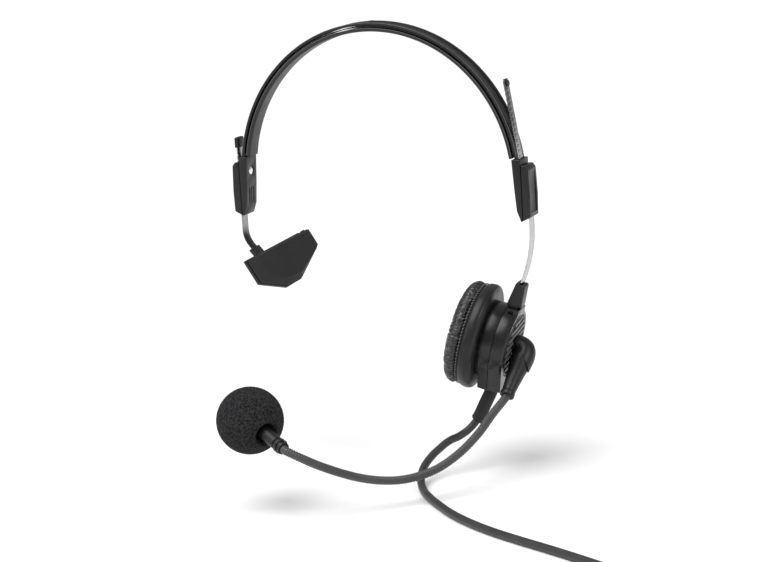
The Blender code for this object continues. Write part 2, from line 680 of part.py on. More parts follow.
def make_fin():
    """The moulded end of the earphone strap, hinged in the earphone's crown."""
    outline = [(12.2, 22.9), (14.7, 35.4), (15.2, 36.6), (16.4, 36.6), (17.4, 35.4), (18.8, 36.0),
               (20.3, 35.4), (20.7, 22.9), (19.0, 22.4), (18.9, 20.0), (14.1, 20.0), (14.0, 22.4)]
    fin = prism("yoke_fin", outline, -4.5, 4.5)
    bevel(fin, 0.4)
    trim = cylinder("fin_foot_cutter", FIN_FOOT_RADIUS, -4.5, 4.5, 32)
    boolean(fin, cutter(trim, PIN @ ALONG_Y), "UNION")
    frame = CUP @ FLAT_XZ
    bore = cylinder("fin_bore_cutter", 1.3, -6, 6, 16)
    boolean(fin, cutter(bore, PIN @ ALONG_Y))
    strap_mouth = box("fin_mouth_cutter", (-0.8, -3.6, 0), (0.8, 3.6, 16))
    mouth_frame = shift(*FIN_MOUTH) @ turn(23, "Y")
    boolean(fin, cutter(strap_mouth, mouth_frame))
    finish(fin, "black_plastic", frame, tilt_axis)


FIN_MOUTH = (81.0, 0.0, -142.3)


def make_ear_hardware():
    screw_profile = [(0, 1.0), (1.9, 1.0), (1.9, 0.2), (1.0, 0.0), (1.0, -4.0), (0, -4.0)]
    for number, (y, z) in enumerate(SCREW_PLACES):
        screw = turned(f"housing_screw_{number + 1}", screw_profile, steps=14)
        finish(screw, "rivet_steel", CUP @ shift(7.6, y, z) @ turn(-90, "Y"), cup_axis)


# ---- boom --------------------------------------------------------------------
def make_boom_hub():
    """Elbow on the earphone: a cap and a tapered sleeve, parted on a slanting plane."""
    middle = SLEEVE_X
    cap = box("boom_cap", (21.8, -6.9, -10.0), (32.6, 6.9, 5.4))
    bevel(cap, 2.9, 3)
    seam = BOOM @ shift(middle, 0, -3.0) @ turn(-32, "Y")
    below = cutter(box("cap_parting_cutter", (-30, -20, -40), (30, 20, 0.15)), seam)
    boolean(cap, below)
    above = cutter(box("sleeve_parting_cutter", (-30, -20, -0.15), (30, 20, 40)), seam)
    profile = [(0, 5.0), (6.3, 5.0), (6.5, -4.0), (6.2, -9.0), (5.0, -16.0), (4.2, -23.0),
               (3.7, -28.4), (4.0, -28.8), (4.0, -SLEEVE_END), (2.8, -SLEEVE_END), (2.8, -15.0),
               (0, -15.0)]
    sleeve = turned("boom_sleeve", profile, steps=24)
    boolean(sleeve, above)
    boolean(sleeve, cutter(box("sleeve_face_cutter", (10, -20, -60), (21.8, 20, 20)), BOOM))
    stud_room = cutter(cylinder("stud_room_cutter", 3.8, 10, 26.5, 24), BOOM @ ALONG_X)
    boolean(cap, stud_room)
    boolean(sleeve, stud_room)
    finish(cap, "black_plastic", BOOM, boom_axis)
    finish(sleeve, "black_plastic", BOOM @ shift(middle, 0, 0), boom_axis)
    stud = turned("boom_pivot_stud", [(0, 26.2), (3.5, 26.2), (3.5, 14.2), (6.0, 14.2), (6.0, 13.2),
                                      (0, 13.2)], steps=24)
    finish(stud, "grey_plastic", BOOM @ ALONG_X, boom_axis)


SLEEVE_X = 27.6             # the sleeve's and the pivot's middle, along the earphone's axis


def sleeve_point(distance):
    return tuple(BOOM @ (Vector((SLEEVE_X, 0, -distance)) * MM) / MM)


GOOSENECK_ROUTE = [sleeve_point(15.5), sleeve_point(24), sleeve_point(31), (73.2, -33.0, -206.4),
                   (69.0, -43.5, -214.3), (62.4, -55.0, -222.2), (54.6, -66.0, -227.8),
                   (46.8, -75.0, -230.2), (38.6, -82.5, -230.8), (30.2, -89.8, -229.4),
                   (22.2, -97.2, -226.3), (14.3, -105.1, -221.6), (6.9, -113.4, -215.9),
                   (0.4, -119.6, -210.6), (-7.2, -122.5, -206.2), (-10.25, -120.75, -205.15),
                   (-12.3, -119.5, -204.5)]
WINDSCREEN_CENTRE = Vector((-37.5, -104.1, -196.4))
WINDSCREEN_RADIUS = 18.2


def mic_frame():
    """Own Z points from the windscreen's middle back along the boom."""
    back = (Vector(GOOSENECK_ROUTE[-1]) - WINDSCREEN_CENTRE).normalized()
    return Matrix.Translation(WINDSCREEN_CENTRE * MM) @ back.to_track_quat("Z", "Y").to_matrix().to_4x4()


def make_boom():
    route = smooth_route(GOOSENECK_ROUTE, 4.2)
    gooseneck = tube("gooseneck", route, GOOSENECK_DIAMETER)
    finish(gooseneck, "boom_jacket", WORLD, boom_axis)
    mic = mic_frame()
    reach = (Vector(GOOSENECK_ROUTE[-1]) - WINDSCREEN_CENTRE).length
    collar = tube_wall("mic_collar", 3.4, 2.75, reach - 2.5, reach + 3.5, 20)
    finish(collar, "black_plastic", mic, boom_axis)
    clip = tube_wall("mic_collar_clip", 4.0, 3.7, reach - 1.2, reach + 1.0, 20)
    finish(clip, "rivet_steel", mic, boom_axis)
    housing = turned("mic_housing", [(0, reach - 2.9), (3.4, reach - 2.9), (3.6, reach - 3.6),
                                     (3.6, 12.0), (4.8, 10.0), (4.8, -4.0), (4.1, -4.0),
                                     (4.1, 8.0), (0, 8.0)], steps=24)
    finish(housing, "black_plastic", mic, boom_axis)
    capsule = cylinder("mic_capsule", 3.75, -4.4, 1.6, 24)
    finish(capsule, "nickel", mic, boom_axis)
    profile = []
    for index in range(11):
        angle = math.pi * index / 10 * 0.885 + math.pi * 0.115
        profile.append((WINDSCREEN_RADIUS * math.sin(angle), WINDSCREEN_RADIUS * math.cos(angle)))
    profile[-1] = (0, -WINDSCREEN_RADIUS)
    foam = turned("windscreen", [(0, -5.2), (5.15, -5.2), (5.15, 16.0)] + profile, steps=28)
    finish(foam, "foam", mic, boom_axis)


# ---- cord --------------------------------------------------------------------
CORD_ROUTE = [BOOT_END, (49.2, -6.9, -222.6), (44.8, -11.9, -226.0),
              (40.9, -18.4, -227.4), (37.7, -25.4, -230.1), (35.2, -33.4, -233.4),
              (34.5, -42.0, -237.0), (36.6, -50.5, -240.4), (41.2, -59.0, CORD_Z),
              (51.5, -73.0, CORD_Z), (62.0, -84.4, CORD_Z), (74.0, -96.0, CORD_Z),
              (88.3, -107.0, CORD_Z), (104.0, -116.8, CORD_Z), (122.0, -126.0, CORD_Z),
              (142.0, -135.4, CORD_Z), (167.0, -148.0, CORD_Z), (194.0, -162.4, CORD_Z)]
COIL_ENTRY_ANGLE = 60.0
COIL_EXIT_ANGLE = -80.0


def coil_point(angle, radius, height):
    turned_by = math.radians(angle)
    return (COIL_CENTRE[0] + radius * math.cos(turned_by), COIL_CENTRE[1] + radius * math.sin(turned_by),
            height)


def make_cord():
    boot_frame, boot_length = boot_frame_and_length()
    boot = turned("strain_relief", [(0, boot_length), (3.8, boot_length), (3.8, boot_length - 7.0),
                                    (3.6, 4.4), (3.9, 2.2), (3.5, 1.3), (0, 1.3)], steps=24)
    finish(boot, "rubber", boot_frame, cup_axis)

    outer_turn = COIL_MEAN_RADIUS + CORD_DIAMETER * (COIL_TURNS_WIDE - 1) / 2
    band = CORD_DIAMETER * COIL_TURNS_WIDE
    lead_end = coil_point(COIL_ENTRY_ANGLE, COIL_MEAN_RADIUS + band / 2 + 2.6, CORD_Z)
    lead = tube("cord_lead", smooth_route(CORD_ROUTE + [lead_end], 9.5), CORD_DIAMETER)
    finish(lead, "cord_jacket", WORLD)
    inner = COIL_MEAN_RADIUS - band / 2
    outer = COIL_MEAN_RADIUS + band / 2
    top = CORD_DIAMETER * COIL_LAYERS + 0.1
    coil = turned("cord_coil", [(outer - 1, top), (outer, top - 1), (outer, 1), (outer - 1, 0),
                                (inner + 1, 0), (inner, 1), (inner, top - 1), (inner + 1, top)],
                  True, 32)
    finish(coil, "cord_jacket", shift(COIL_CENTRE[0], COIL_CENTRE[1], TABLE_Z))

    tail_start = coil_point(COIL_EXIT_ANGLE, outer + 2.6, CORD_Z + 3.0)
    heading = Vector((-1, 0, 0))
    boot_start = Vector(tail_start) + Vector((-45, -5.5, 0))
    boot_start.z = TABLE_Z + CONNECTOR_RADIUS
    tail = [tail_start]
    tail.append(tuple(Vector(tail_start) + Vector((-13, -2.3, -1.6))))
    tail.append(tuple(Vector(tail_start) + Vector((-28, -4.6, 0.6))))
    tail.append(tuple(boot_start - heading * 0.8))
    finish(tube("cord_tail", smooth_route(tail, 7), CORD_DIAMETER), "cord_jacket", WORLD)
    make_coil_tie(inner, outer, top)
    make_connector(boot_start, heading)


def make_coil_tie(inner, outer, top):
    """A hook-and-loop strap round the coil's turns; the coil fills it."""
    tie_frame = shift(*coil_point(150, COIL_MEAN_RADIUS, TABLE_Z)) @ turn(150, "Z")
    half = (outer - inner) / 2
    tie = box("coil_tie", (-half - 2.2, -5, 0), (half + 1.3, 5, top + 1.3))
    bevel(tie, 0.8)
    boolean(tie, cutter(box("tie_room_cutter", (-half - 1.2, -9, -3), (half + 0.35, 9, top + 0.3)),
                        tie_frame))
    finish(tie, "rubber", tie_frame)


def make_connector(start, heading):
    """Locking round connector: rubber boot, metal shell, insert with four pins, latch."""
    frame = Matrix.Translation(start * MM) @ heading.to_track_quat("Z", "Y").to_matrix().to_4x4()
    boot = turned("connector_boot", [(0, 17.0), (6.2, 17.0), (6.0, 12.0), (3.6, 0.3), (0, 0.3)],
                  steps=24)
    finish(boot, "rubber", frame)
    shell = turned("connector_shell", [(8.2, 61.0), (9.1, 61.0), (CONNECTOR_RADIUS, 60.6),
                                       (CONNECTOR_RADIUS, 36.0), (CONNECTOR_RADIUS - 0.3, 20.0),
                                       (7.0, 17.4), (0, 17.4), (0, 20.0), (8.2, 20.0)], True, 36)
    slot = box("latch_slot_cutter", (-2.7, 5.0, 38.7), (2.7, 12, 52.3))
    boolean(shell, cutter(slot, frame @ turn(LATCH_ROLL, "Z")))
    finish(shell, "nickel", frame)
    insert = cylinder("connector_insert", 7.8, 20.4, 45.0, 32)
    room = box("insert_latch_cutter", (-3.2, 4.6, 36.0), (3.2, 12, 46.0))
    boolean(insert, cutter(room, frame @ turn(LATCH_ROLL, "Z")))
    for number in range(4):
        angle = 45 + 90 * number
        pin = cylinder(f"insert_pin_cutter_{number}", 1.2, 40, 54, 12)
        boolean(insert, cutter(pin, frame @ turn(angle, "Z") @ shift(0, 4.6, 0)), "UNION")
    finish(insert, "black_plastic", frame)
    latch_frame = frame @ turn(LATCH_ROLL, "Z")
    latch = box("connector_latch", (-2.4, 6.4, 39.0), (2.4, 10.2, 52.0))
    bevel(latch, 0.6)
    holder = joint_frame("latch_axis", latch_frame)
    finish(latch, "black_plastic", latch_frame, holder)

make_band()
make_clamp(1, "earphone_clamp")
make_clamp(-1, "temple_clamp")
make_earphone_strap()
make_temple_strap()
make_temple_pad()
make_cushion()
make_driver()
make_housing()
make_grille()
make_fin()
make_ear_hardware()
make_boom_hub()
make_boom()
make_cord()
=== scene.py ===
"""Looks for the office headset: camera, cord, detailed pieces, materials, light.

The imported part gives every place: its nodes stay where they are, and the
detailed pieces stand for the plain ones. Lengths are millimetres times MM.
Frame: +Z up, +X to the earphone side, -Y to the front of the head; the origin
is on the inside of the headband at its crown.
"""
import json
import math

import bmesh
import bpy
from mathutils import Euler, Matrix, Vector, noise


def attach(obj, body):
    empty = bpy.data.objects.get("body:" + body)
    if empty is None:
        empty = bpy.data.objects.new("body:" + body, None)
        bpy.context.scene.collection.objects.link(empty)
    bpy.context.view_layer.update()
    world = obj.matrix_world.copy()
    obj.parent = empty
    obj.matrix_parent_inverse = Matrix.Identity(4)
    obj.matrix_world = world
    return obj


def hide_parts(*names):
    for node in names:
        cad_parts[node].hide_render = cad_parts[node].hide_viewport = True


MM = 0.001
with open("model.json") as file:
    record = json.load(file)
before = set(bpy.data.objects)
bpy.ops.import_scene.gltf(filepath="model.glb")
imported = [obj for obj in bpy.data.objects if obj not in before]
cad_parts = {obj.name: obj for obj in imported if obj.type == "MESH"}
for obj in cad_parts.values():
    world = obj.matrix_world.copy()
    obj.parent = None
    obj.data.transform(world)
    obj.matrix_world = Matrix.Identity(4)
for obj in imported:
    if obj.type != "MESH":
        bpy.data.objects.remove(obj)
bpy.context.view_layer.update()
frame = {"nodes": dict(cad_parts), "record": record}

# ---- driving dimensions, the same as the part's -------------------------------
ARCH_HALF_WIDTH = 82.5
ARCH_HEIGHT = 84.7
BAND_WIDTH = 11.5
BAND_HALF_THICKNESS = 2.55
OUTER_LAYER = 1.6
INNER_LAYER = 2.0
CHANNEL_DEPTH = 0.8
CHANNEL_HALF_WIDTH = 3.5
OUTER_END = 89.6            # degrees from the crown to each end of a layer
INNER_END = 81.6
EDGE_BEAD_END = 81.0
SPRING_END = 80.0
ARCH_Z = BAND_HALF_THICKNESS - ARCH_HEIGHT
STRAP_WIDTH = 6.5
STRAP_THICKNESS = 0.8
STRAP_LEAN = 8.8
NOTCH_PITCH = 2.9
NOTCH_DEPTH = 0.5
EARPHONE_STRAP_TOP_Z = -27.0
EARPHONE_STRAP_GATE = (84.15, -71.0)    # (x, z) where it enters its clamp
TEMPLE_STRAP_X = -88.1
TEMPLE_STRAP_TOP_Z = -60.6
STRAP_END_LEAN = 41.6
PAD_PIVOT = (-78.5, 0.0, -130.0)
PAD_TURN = (6.5, -30.8, -9.9)

CUP_CENTRE = (55.2, -2.0, -170.0)
CUP_TILT = 15.6
CUP_SWING = 5.5
RING_RADIUS = 30.0
CUSHION_RADIUS = 28.5
CUSHION_HOLE = 12.5
CUSHION_MIDDLE_RADIUS = 20.5
CUSHION_MIDDLE_HEIGHT = -7.6
SEAM_HEIGHT = -3.4
GRILLE_RADIUS = 17.5
GRILLE_PITCH = 3.7
BAR_WIDTH = 1.5
DRUM_RADIUS = 21.8
CHIN_FOOT = -27.0
CHIN_LEAVES_DRUM = -31.0    # degrees round the drum, where the chin's side is its tangent
BOOM_ANGLE = 45.0
SLEEVE_X = 27.6
GOOSENECK_DIAMETER = 4.8
WINDSCREEN_CENTRE = Vector((-37.5, -104.1, -196.4))
WINDSCREEN_RADIUS = 18.2

BOOT_END = (52.7, -4.0, -218.1)
TABLE_Z = -245.0
CORD_DIAMETER = 4.4
CORD_Z = TABLE_Z + CORD_DIAMETER / 2
COIL_CENTRE = (206.0, -205.5)
COIL_MEAN_RADIUS = 25.0
COIL_TURNS_WIDE = 4
COIL_ENTRY_ANGLE = 60.0
COIL_EXIT_SWEEP = 140.0     # degrees past the last whole turn
COIL_EDGE = 2.6             # the cord joins and leaves this far outside the turns
TIE_ANGLE = 150.0
TIE_HALF_WIDTH = 5.0
TIE_THICKNESS = 0.8
CONNECTOR_RADIUS = 9.4
SHELL_BORE = 8.2


def turn(angle, axis):
    return Matrix.Rotation(math.radians(angle), 4, axis)


def shift(x, y, z):
    return Matrix.Translation(Vector((x, y, z)) * MM)


def around(reach, angle):
    """The first two co-ordinates of a place at this angle in radians."""
    return reach * math.cos(angle), reach * math.sin(angle)


ALONG_X = turn(90, "Y")
CUP = shift(*CUP_CENTRE) @ turn(CUP_SWING, "Z") @ turn(CUP_TILT, "Y")
CUP_TURNED = CUP @ ALONG_X      # for pieces turned about the earphone's axis
BOOM = CUP @ turn(-BOOM_ANGLE, "X")
PAD = shift(*PAD_PIVOT) @ Euler([math.radians(a) for a in PAD_TURN], "XYZ").to_matrix().to_4x4()
PAD_LAY = PAD @ Matrix(((0, 0, 1, 0), (1, 0, 0, 0), (0, 1, 0, 0), (0, 0, 0, 1)))
WORLD = Matrix.Identity(4)


# ---- camera -------------------------------------------------------------------
CAMERA_ANGLES = (25.0, 12.0, 3.5)       # round to the earphone's side, up, and rolled
CAMERA_TARGET = Vector((-0.0038, 0.0, -0.1416))
CAMERA_DISTANCE = 1.25
CAMERA_LENS = 104.36


def make_camera():
    """A long lens, from the front and a little to the earphone's side."""
    swing, height, roll = (math.radians(angle) for angle in CAMERA_ANGLES)
    level = Vector((math.cos(swing), math.sin(swing), 0))
    rise = Vector((-math.sin(swing) * math.sin(height), math.cos(swing) * math.sin(height),
                   math.cos(height)))
    back = Vector((math.sin(swing) * math.cos(height), -math.cos(swing) * math.cos(height),
                   math.sin(height)))
    right = level * math.cos(roll) - rise * math.sin(roll)
    up = level * math.sin(roll) + rise * math.cos(roll)
    data = bpy.data.cameras.new("camera")
    data.sensor_width = 36.0
    data.lens = CAMERA_LENS
    data.clip_end = 100.0
    camera = bpy.data.objects.new("camera", data)
    rotation = Matrix((right, up, back)).transposed()
    place = Matrix.Translation(CAMERA_TARGET + back * CAMERA_DISTANCE)
    camera.matrix_world = place @ rotation.to_4x4()
    bpy.context.scene.collection.objects.link(camera)
    bpy.context.scene.camera = camera


make_camera()


# ---- materials ----------------------------------------------------------------
def fill(node, values):
    for name, value in values.items():
        node.inputs[name].default_value = value


class Finish:
    """A procedural material: texture nodes feed the shader's colour, roughness and normal."""

    def __init__(self, name, colour, roughness, metallic=0.0, specular=0.5):
        self.material = bpy.data.materials.new(name)
        self.material.use_nodes = True
        self.nodes = self.material.node_tree.nodes
        self.links = self.material.node_tree.links
        self.shader = self.nodes["Principled BSDF"]
        self.colour = colour
        self.roughness = roughness
        fill(self.shader, {"Base Color": (*colour, 1), "Roughness": roughness,
                           "Metallic": metallic, "Specular IOR Level": specular})
        self.place = self.nodes.new("ShaderNodeTexCoord")
        self.normal = None

    def scaled(self, scale):
        """Places in metres, scaled by one number or by one for each axis."""
        mapping = self.nodes.new("ShaderNodeMapping")
        fill(mapping, {"Scale": scale if isinstance(scale, tuple) else (scale,) * 3})
        self.links.new(self.place.outputs["Object"], mapping.inputs["Vector"])
        return mapping.outputs["Vector"]

    def noise(self, scale, detail=4.0, rough=0.55):
        node = self.nodes.new("ShaderNodeTexNoise")
        fill(node, {"Scale": 1.0, "Detail": detail, "Roughness": rough})
        self.links.new(self.scaled(scale), node.inputs["Vector"])
        return node.outputs["Fac"]

    def cells(self, scale):
        node = self.nodes.new("ShaderNodeTexVoronoi")
        fill(node, {"Scale": 1.0})
        self.links.new(self.scaled(scale), node.inputs["Vector"])
        return node.outputs["Distance"]

    def spread(self, value, low, high, start=0.3, end=0.7):
        node = self.nodes.new("ShaderNodeMapRange")
        fill(node, {"From Min": start, "From Max": end, "To Min": low, "To Max": high})
        self.links.new(value, node.inputs["Value"])
        return node.outputs["Result"]

    def vary_colour(self, value, darker, lighter, start=0.3, end=0.7):
        ramp = self.nodes.new("ShaderNodeValToRGB")
        ends = ((start, darker), (end, lighter))
        for element, (position, share) in zip(ramp.color_ramp.elements, ends):
            element.position = position
            element.color = (*[value * share for value in self.colour], 1)
        self.links.new(value, ramp.inputs["Fac"])
        self.links.new(ramp.outputs["Color"], self.shader.inputs["Base Color"])
        return self

    def vary_roughness(self, value, amount):
        result = self.spread(value, self.roughness - amount, self.roughness + amount)
        self.links.new(result, self.shader.inputs["Roughness"])
        return self

    def fade(self, low, high, low_share, high_share):
        """Multiply the colour by a share that changes between two heights in millimetres."""
        height = self.nodes.new("ShaderNodeSeparateXYZ")
        self.links.new(self.place.outputs["Object"], height.inputs["Vector"])
        share = self.spread(height.outputs["Z"], low_share, high_share, low * MM, high * MM)
        mix = self.nodes.new("ShaderNodeVectorMath")
        mix.operation = "SCALE"
        self.links.new(self.shader.inputs["Base Color"].links[0].from_socket, mix.inputs[0])
        self.links.new(share, mix.inputs["Scale"])
        self.links.new(mix.outputs["Vector"], self.shader.inputs["Base Color"])
        return self

    def bump(self, value, depth, strength=1.0):
        """Depth is in millimetres."""
        node = self.nodes.new("ShaderNodeBump")
        fill(node, {"Strength": strength, "Distance": depth * MM})
        self.links.new(value, node.inputs["Height"])
        if self.normal:
            self.links.new(self.normal, node.inputs["Normal"])
        self.normal = node.outputs["Normal"]
        self.links.new(self.normal, self.shader.inputs["Normal"])
        return self


def moulded(name, grey, roughness, grain=1600, depth=0.03, specular=0.5):
    """Moulded plastic or rubber: fine grain, faint flow marks and handling wear."""
    finish = Finish(name, (grey, grey, grey * 1.03), roughness, specular=specular)
    finish.vary_colour(finish.noise(70, 5), 0.85, 1.18)
    finish.vary_roughness(finish.noise(140, 6), 0.07)
    finish.bump(finish.noise(grain, 3), depth)
    return finish.bump(finish.noise(110, 2), 0.05, 0.5)


def metal(name, colour, roughness, lines, depth=0.006):
    """Rolled or turned metal: fine lines along the axis with the smallest scale."""
    finish = Finish(name, colour, roughness, metallic=1.0)
    finish.vary_colour(finish.noise(lines, 3), 0.80, 1.10)
    finish.vary_roughness(finish.noise(lines, 4), 0.08)
    finish.bump(finish.noise(lines, 2), depth)
    return finish


def make_leatherette():
    finish = Finish("leatherette", (0.010, 0.010, 0.011), 0.31, specular=0.7)
    finish.vary_colour(finish.noise(260, 5), 0.7, 1.5)
    finish.vary_roughness(finish.noise(420, 5), 0.10)
    finish.bump(finish.cells(1500), 0.05, 0.8)
    return finish.bump(finish.noise(650, 5), 0.16, 0.8)


def make_foam():
    finish = Finish("open_cell_foam", (0.020, 0.020, 0.021), 0.97, specular=0.12)
    finish.vary_colour(finish.noise(900, 6, 0.7), 0.25, 2.4, 0.38, 0.66)
    finish.bump(finish.cells(1150), 0.45, 1.0)
    return finish.bump(finish.noise(1900, 4, 0.7), 0.25, 1.0)


def make_board():
    finish = Finish("wiring_board", (0.02, 0.10, 0.04), 0.45)
    finish.vary_colour(finish.cells(900), 0.6, 1.6, 0.2, 0.6)
    return finish.bump(finish.cells(900), 0.03)


def make_earphone_steel_painted_reflection():
    """Bright steel, darker above the clamp: a painted reflection near the clamp and painted shade
    above it.
    """
    finish = metal("spring_steel", (0.60, 0.60, 0.60), 0.30, (900, 900, 60), 0.001)
    return finish.fade(-78.0, -50.0, 0.9, 0.24)


def make_temple_steel_painted_shade():
    """Grey steel, much darker where it bends to the pad: painted shade where the strap's face turns
    down, away from the light.
    """
    finish = metal("temple_strap_steel_painted_shade", (0.34, 0.34, 0.34), 0.34, (900, 900, 60), 0.001)
    return finish.fade(-117.0, -111.0, 0.16, 1.0)


FINISHES = {
    "black_plastic": moulded("satin_black_plastic", 0.008, 0.40, specular=0.36),
    "shiny_black": moulded("polished_black_plastic", 0.006, 0.27, 900, 0.012, 0.42),
    "grey_plastic": moulded("satin_grey_plastic", 0.014, 0.42, specular=0.4),
    # a light grey for thin beads on the band's edges: a painted highlight
    "edge_highlight_plastic": moulded("painted_highlight_bead_plastic", 0.10, 0.30, 900, 0.01),
    # a light grey for the grille bars' crowns: a painted highlight
    "bar_crown_painted_highlight": moulded("painted_highlight_bar_plastic", 0.11, 0.30, 900, 0.01),
    "pad_rubber": moulded("pad_rubber", 0.018, 0.62, 2100, 0.03, 0.3),
    "boom_jacket": moulded("boom_jacket", 0.050, 0.42, 1800, 0.01),
    "cord_jacket": moulded("cord_jacket", 0.026, 0.44, 900, 0.02),
    "rubber": moulded("soft_rubber", 0.014, 0.58, 1300, 0.04, 0.35),
    "thread": moulded("seam_thread", 0.16, 0.55, 3000, 0.02),
    # this steel's colour holds a painted reflection and painted shade that change with height
    "spring_steel": make_earphone_steel_painted_reflection(),
    # this steel's colour holds painted shade at the strap's bend
    "temple_steel_painted_shade": make_temple_steel_painted_shade(),
    "dark_steel": metal("blued_steel", (0.06, 0.06, 0.065), 0.38, (900, 900, 90), 0.002),
    "rivet_steel": metal("rivet_steel", (0.80, 0.80, 0.79), 0.20, 900),
    "nickel": metal("satin_nickel", (0.63, 0.62, 0.60), 0.28, (90, 2600, 2600)),
    "brass": metal("wound_wire", (0.55, 0.30, 0.14), 0.30, (2600, 300, 2600)),
    "magnet": metal("plated_magnet", (0.32, 0.32, 0.33), 0.38, 500),
    "film": moulded("translucent_film", 0.35, 0.35, 400, 0.03),
    "leatherette": make_leatherette(),
    "foam": make_foam(),
    "board": make_board(),
}


# ---- mesh tools ---------------------------------------------------------------
def add_object(name, verts, faces, finish, place=WORLD, sharp=40):
    """Verts in millimetres in their own frame; the object stays at the origin."""
    mesh = bpy.data.meshes.new(name)
    mesh.from_pydata([place @ (Vector(vert) * MM) for vert in verts], [], faces)
    mesh.validate()
    mesh.shade_smooth()
    mesh.set_sharp_from_angle(angle=math.radians(sharp))
    mesh.materials.append(FINISHES[finish].material)
    obj = bpy.data.objects.new(name, mesh)
    bpy.context.scene.collection.objects.link(obj)
    return obj


def fit(piece, body, slot, *nodes):
    """The piece moves with a body and may stand for some nodes, which are hidden; slot is not used.
    """
    if nodes:
        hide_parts(*nodes)
    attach(piece, body)


def ring_faces(rows, columns, closed_rows=False, caps=False):
    """Quads between rows of vertices, each row a closed loop of the given columns."""
    faces = []
    for row in range(rows if closed_rows else rows - 1):
        after = (row + 1) % rows
        for column in range(columns):
            beside = (column + 1) % columns
            faces.append((row * columns + column, row * columns + beside,
                          after * columns + beside, after * columns + column))
    if caps:
        faces.append(tuple(reversed(range(columns))))
        faces.append(tuple((rows - 1) * columns + column for column in range(columns)))
    return faces


def rounded(outline, radius, steps=4, closed=True):
    """The outline with each corner eased over about a radius."""
    result = []
    count = len(outline)
    for index, corner in enumerate(outline):
        if not closed and index in (0, count - 1):
            result.append(tuple(corner))
            continue
        point = Vector(corner)
        before = Vector(outline[index - 1])
        after = Vector(outline[(index + 1) % count])
        start = point + (before - point) * min(0.48, radius / (before - point).length)
        end = point + (after - point) * min(0.48, radius / (after - point).length)
        for step in range(steps + 1):
            t = step / steps
            result.append(tuple(start * (1 - t)**2 + point * 2 * t * (1 - t) + end * t**2))
    return result


def turned(name, profile, finish, place, radius=0.5, steps=96, wave=None, sharp=40):
    """A closed (radius, height) profile turned about Z; wave can move a point by its angle."""
    profile = rounded(profile, radius) if radius else profile
    verts = []
    for step in range(steps):
        angle = 2 * math.pi * step / steps
        for reach, height in profile:
            if wave:
                reach, height = wave(angle, reach, height)
            verts.append((*around(reach, angle), height))
    return add_object(name, verts, ring_faces(steps, len(profile), True), finish, place, sharp)


def smooth_route(points, spacing):
    """Points at about an even spacing on a smooth curve through the given ones."""
    knots = [Vector(point) for point in points]
    route = []
    for index in range(len(knots) - 1):
        before = knots[max(index - 1, 0)]
        start = knots[index]
        end = knots[index + 1]
        after = knots[min(index + 2, len(knots) - 1)]
        leave = (end - before) / 2
        arrive = (after - start) / 2
        count = max(1, round((end - start).length / spacing))
        for step in range(count):
            t = step / count
            route.append(start * (2 * t**3 - 3 * t**2 + 1) + leave * (t**3 - 2 * t**2 + t)
                         + end * (3 * t**2 - 2 * t**3) + arrive * (t**3 - t**2))
    route.append(knots[-1])
    return route


def sweep(name, route, radius_at, finish, sides=20):
    """A round body along a route; radius_at gives its radius for each place's number."""
    verts = []
    across = Vector((0, 0, 1)).cross(route[1] - route[0]).normalized()
    for index, centre in enumerate(route):
        ahead = route[min(index + 1, len(route) - 1)] - route[max(index - 1, 0)]
        ahead.normalize()
        across = (across - ahead * across.dot(ahead)).normalized()
        over = ahead.cross(across)
        for side in range(sides):
            angle = 2 * math.pi * side / sides
            verts.append(centre + (across * math.cos(angle) + over * math.sin(angle))
                         * radius_at(index))
    return add_object(name, verts, ring_faces(len(route), sides, caps=True), finish)


# ---- cord ---------------------------------------------------------------------
CORD_ROUTE = [BOOT_END, (49.2, -6.9, -222.6), (44.8, -11.9, -226.0),
              (40.9, -18.4, -227.4), (37.7, -25.4, -230.1), (35.2, -33.4, -233.4),
              (34.5, -42.0, -237.0), (36.6, -50.5, -240.4), (41.2, -59.0, CORD_Z),
              (51.5, -73.0, CORD_Z), (62.0, -84.4, CORD_Z), (74.0, -96.0, CORD_Z),
              (88.3, -107.0, CORD_Z), (104.0, -116.8, CORD_Z), (122.0, -126.0, CORD_Z),
              (142.0, -135.4, CORD_Z), (167.0, -148.0, CORD_Z), (194.0, -162.4, CORD_Z)]
POINTS_PER_TURN = 24
STEP_SHARE = 1 / 6          # share of a turn in which the cord moves over by a diameter


def ease(value):
    value = min(1.0, max(0.0, value))
    return value * value * (3 - 2 * value)


def coil_place(turned_by):
    """A point of the coil, after turning by so many degrees from where the cord joins it."""
    outside = COIL_MEAN_RADIUS + CORD_DIAMETER * (COIL_TURNS_WIDE - 1) / 2
    turns = turned_by / 360
    whole = min(int(turns), 2 * COIL_TURNS_WIDE - 1)
    moved = ease((turns - whole - (1 - STEP_SHARE)) / STEP_SHARE)
    if whole < COIL_TURNS_WIDE:
        steps_in = min(whole + moved, COIL_TURNS_WIDE - 1)
        climbed = moved if whole == COIL_TURNS_WIDE - 1 else 0.0
    else:
        steps_in = max(2 * COIL_TURNS_WIDE - 1 - whole - moved, 0.0)
        climbed = 1.0
    radius = outside - steps_in * CORD_DIAMETER
    joining = CORD_DIAMETER / 2 + COIL_EDGE
    radius += joining * (1 - ease(turned_by / 60))
    last = turned_by - 2 * COIL_TURNS_WIDE * 360
    if last > 0:
        radius = outside + joining * ease(last / COIL_EXIT_SWEEP)
        climbed = 1.0 - (1 - 3.0 / CORD_DIAMETER) * ease(last / COIL_EXIT_SWEEP)
    x, y = around(radius, math.radians(COIL_ENTRY_ANGLE - turned_by))
    return COIL_CENTRE[0] + x, COIL_CENTRE[1] + y, CORD_Z + climbed * CORD_DIAMETER


def coil_points():
    sweep_angle = 2 * COIL_TURNS_WIDE * 360 + COIL_EXIT_SWEEP
    count = round(sweep_angle / 360 * POINTS_PER_TURN)
    return [coil_place(sweep_angle * number / count) for number in range(count + 1)]


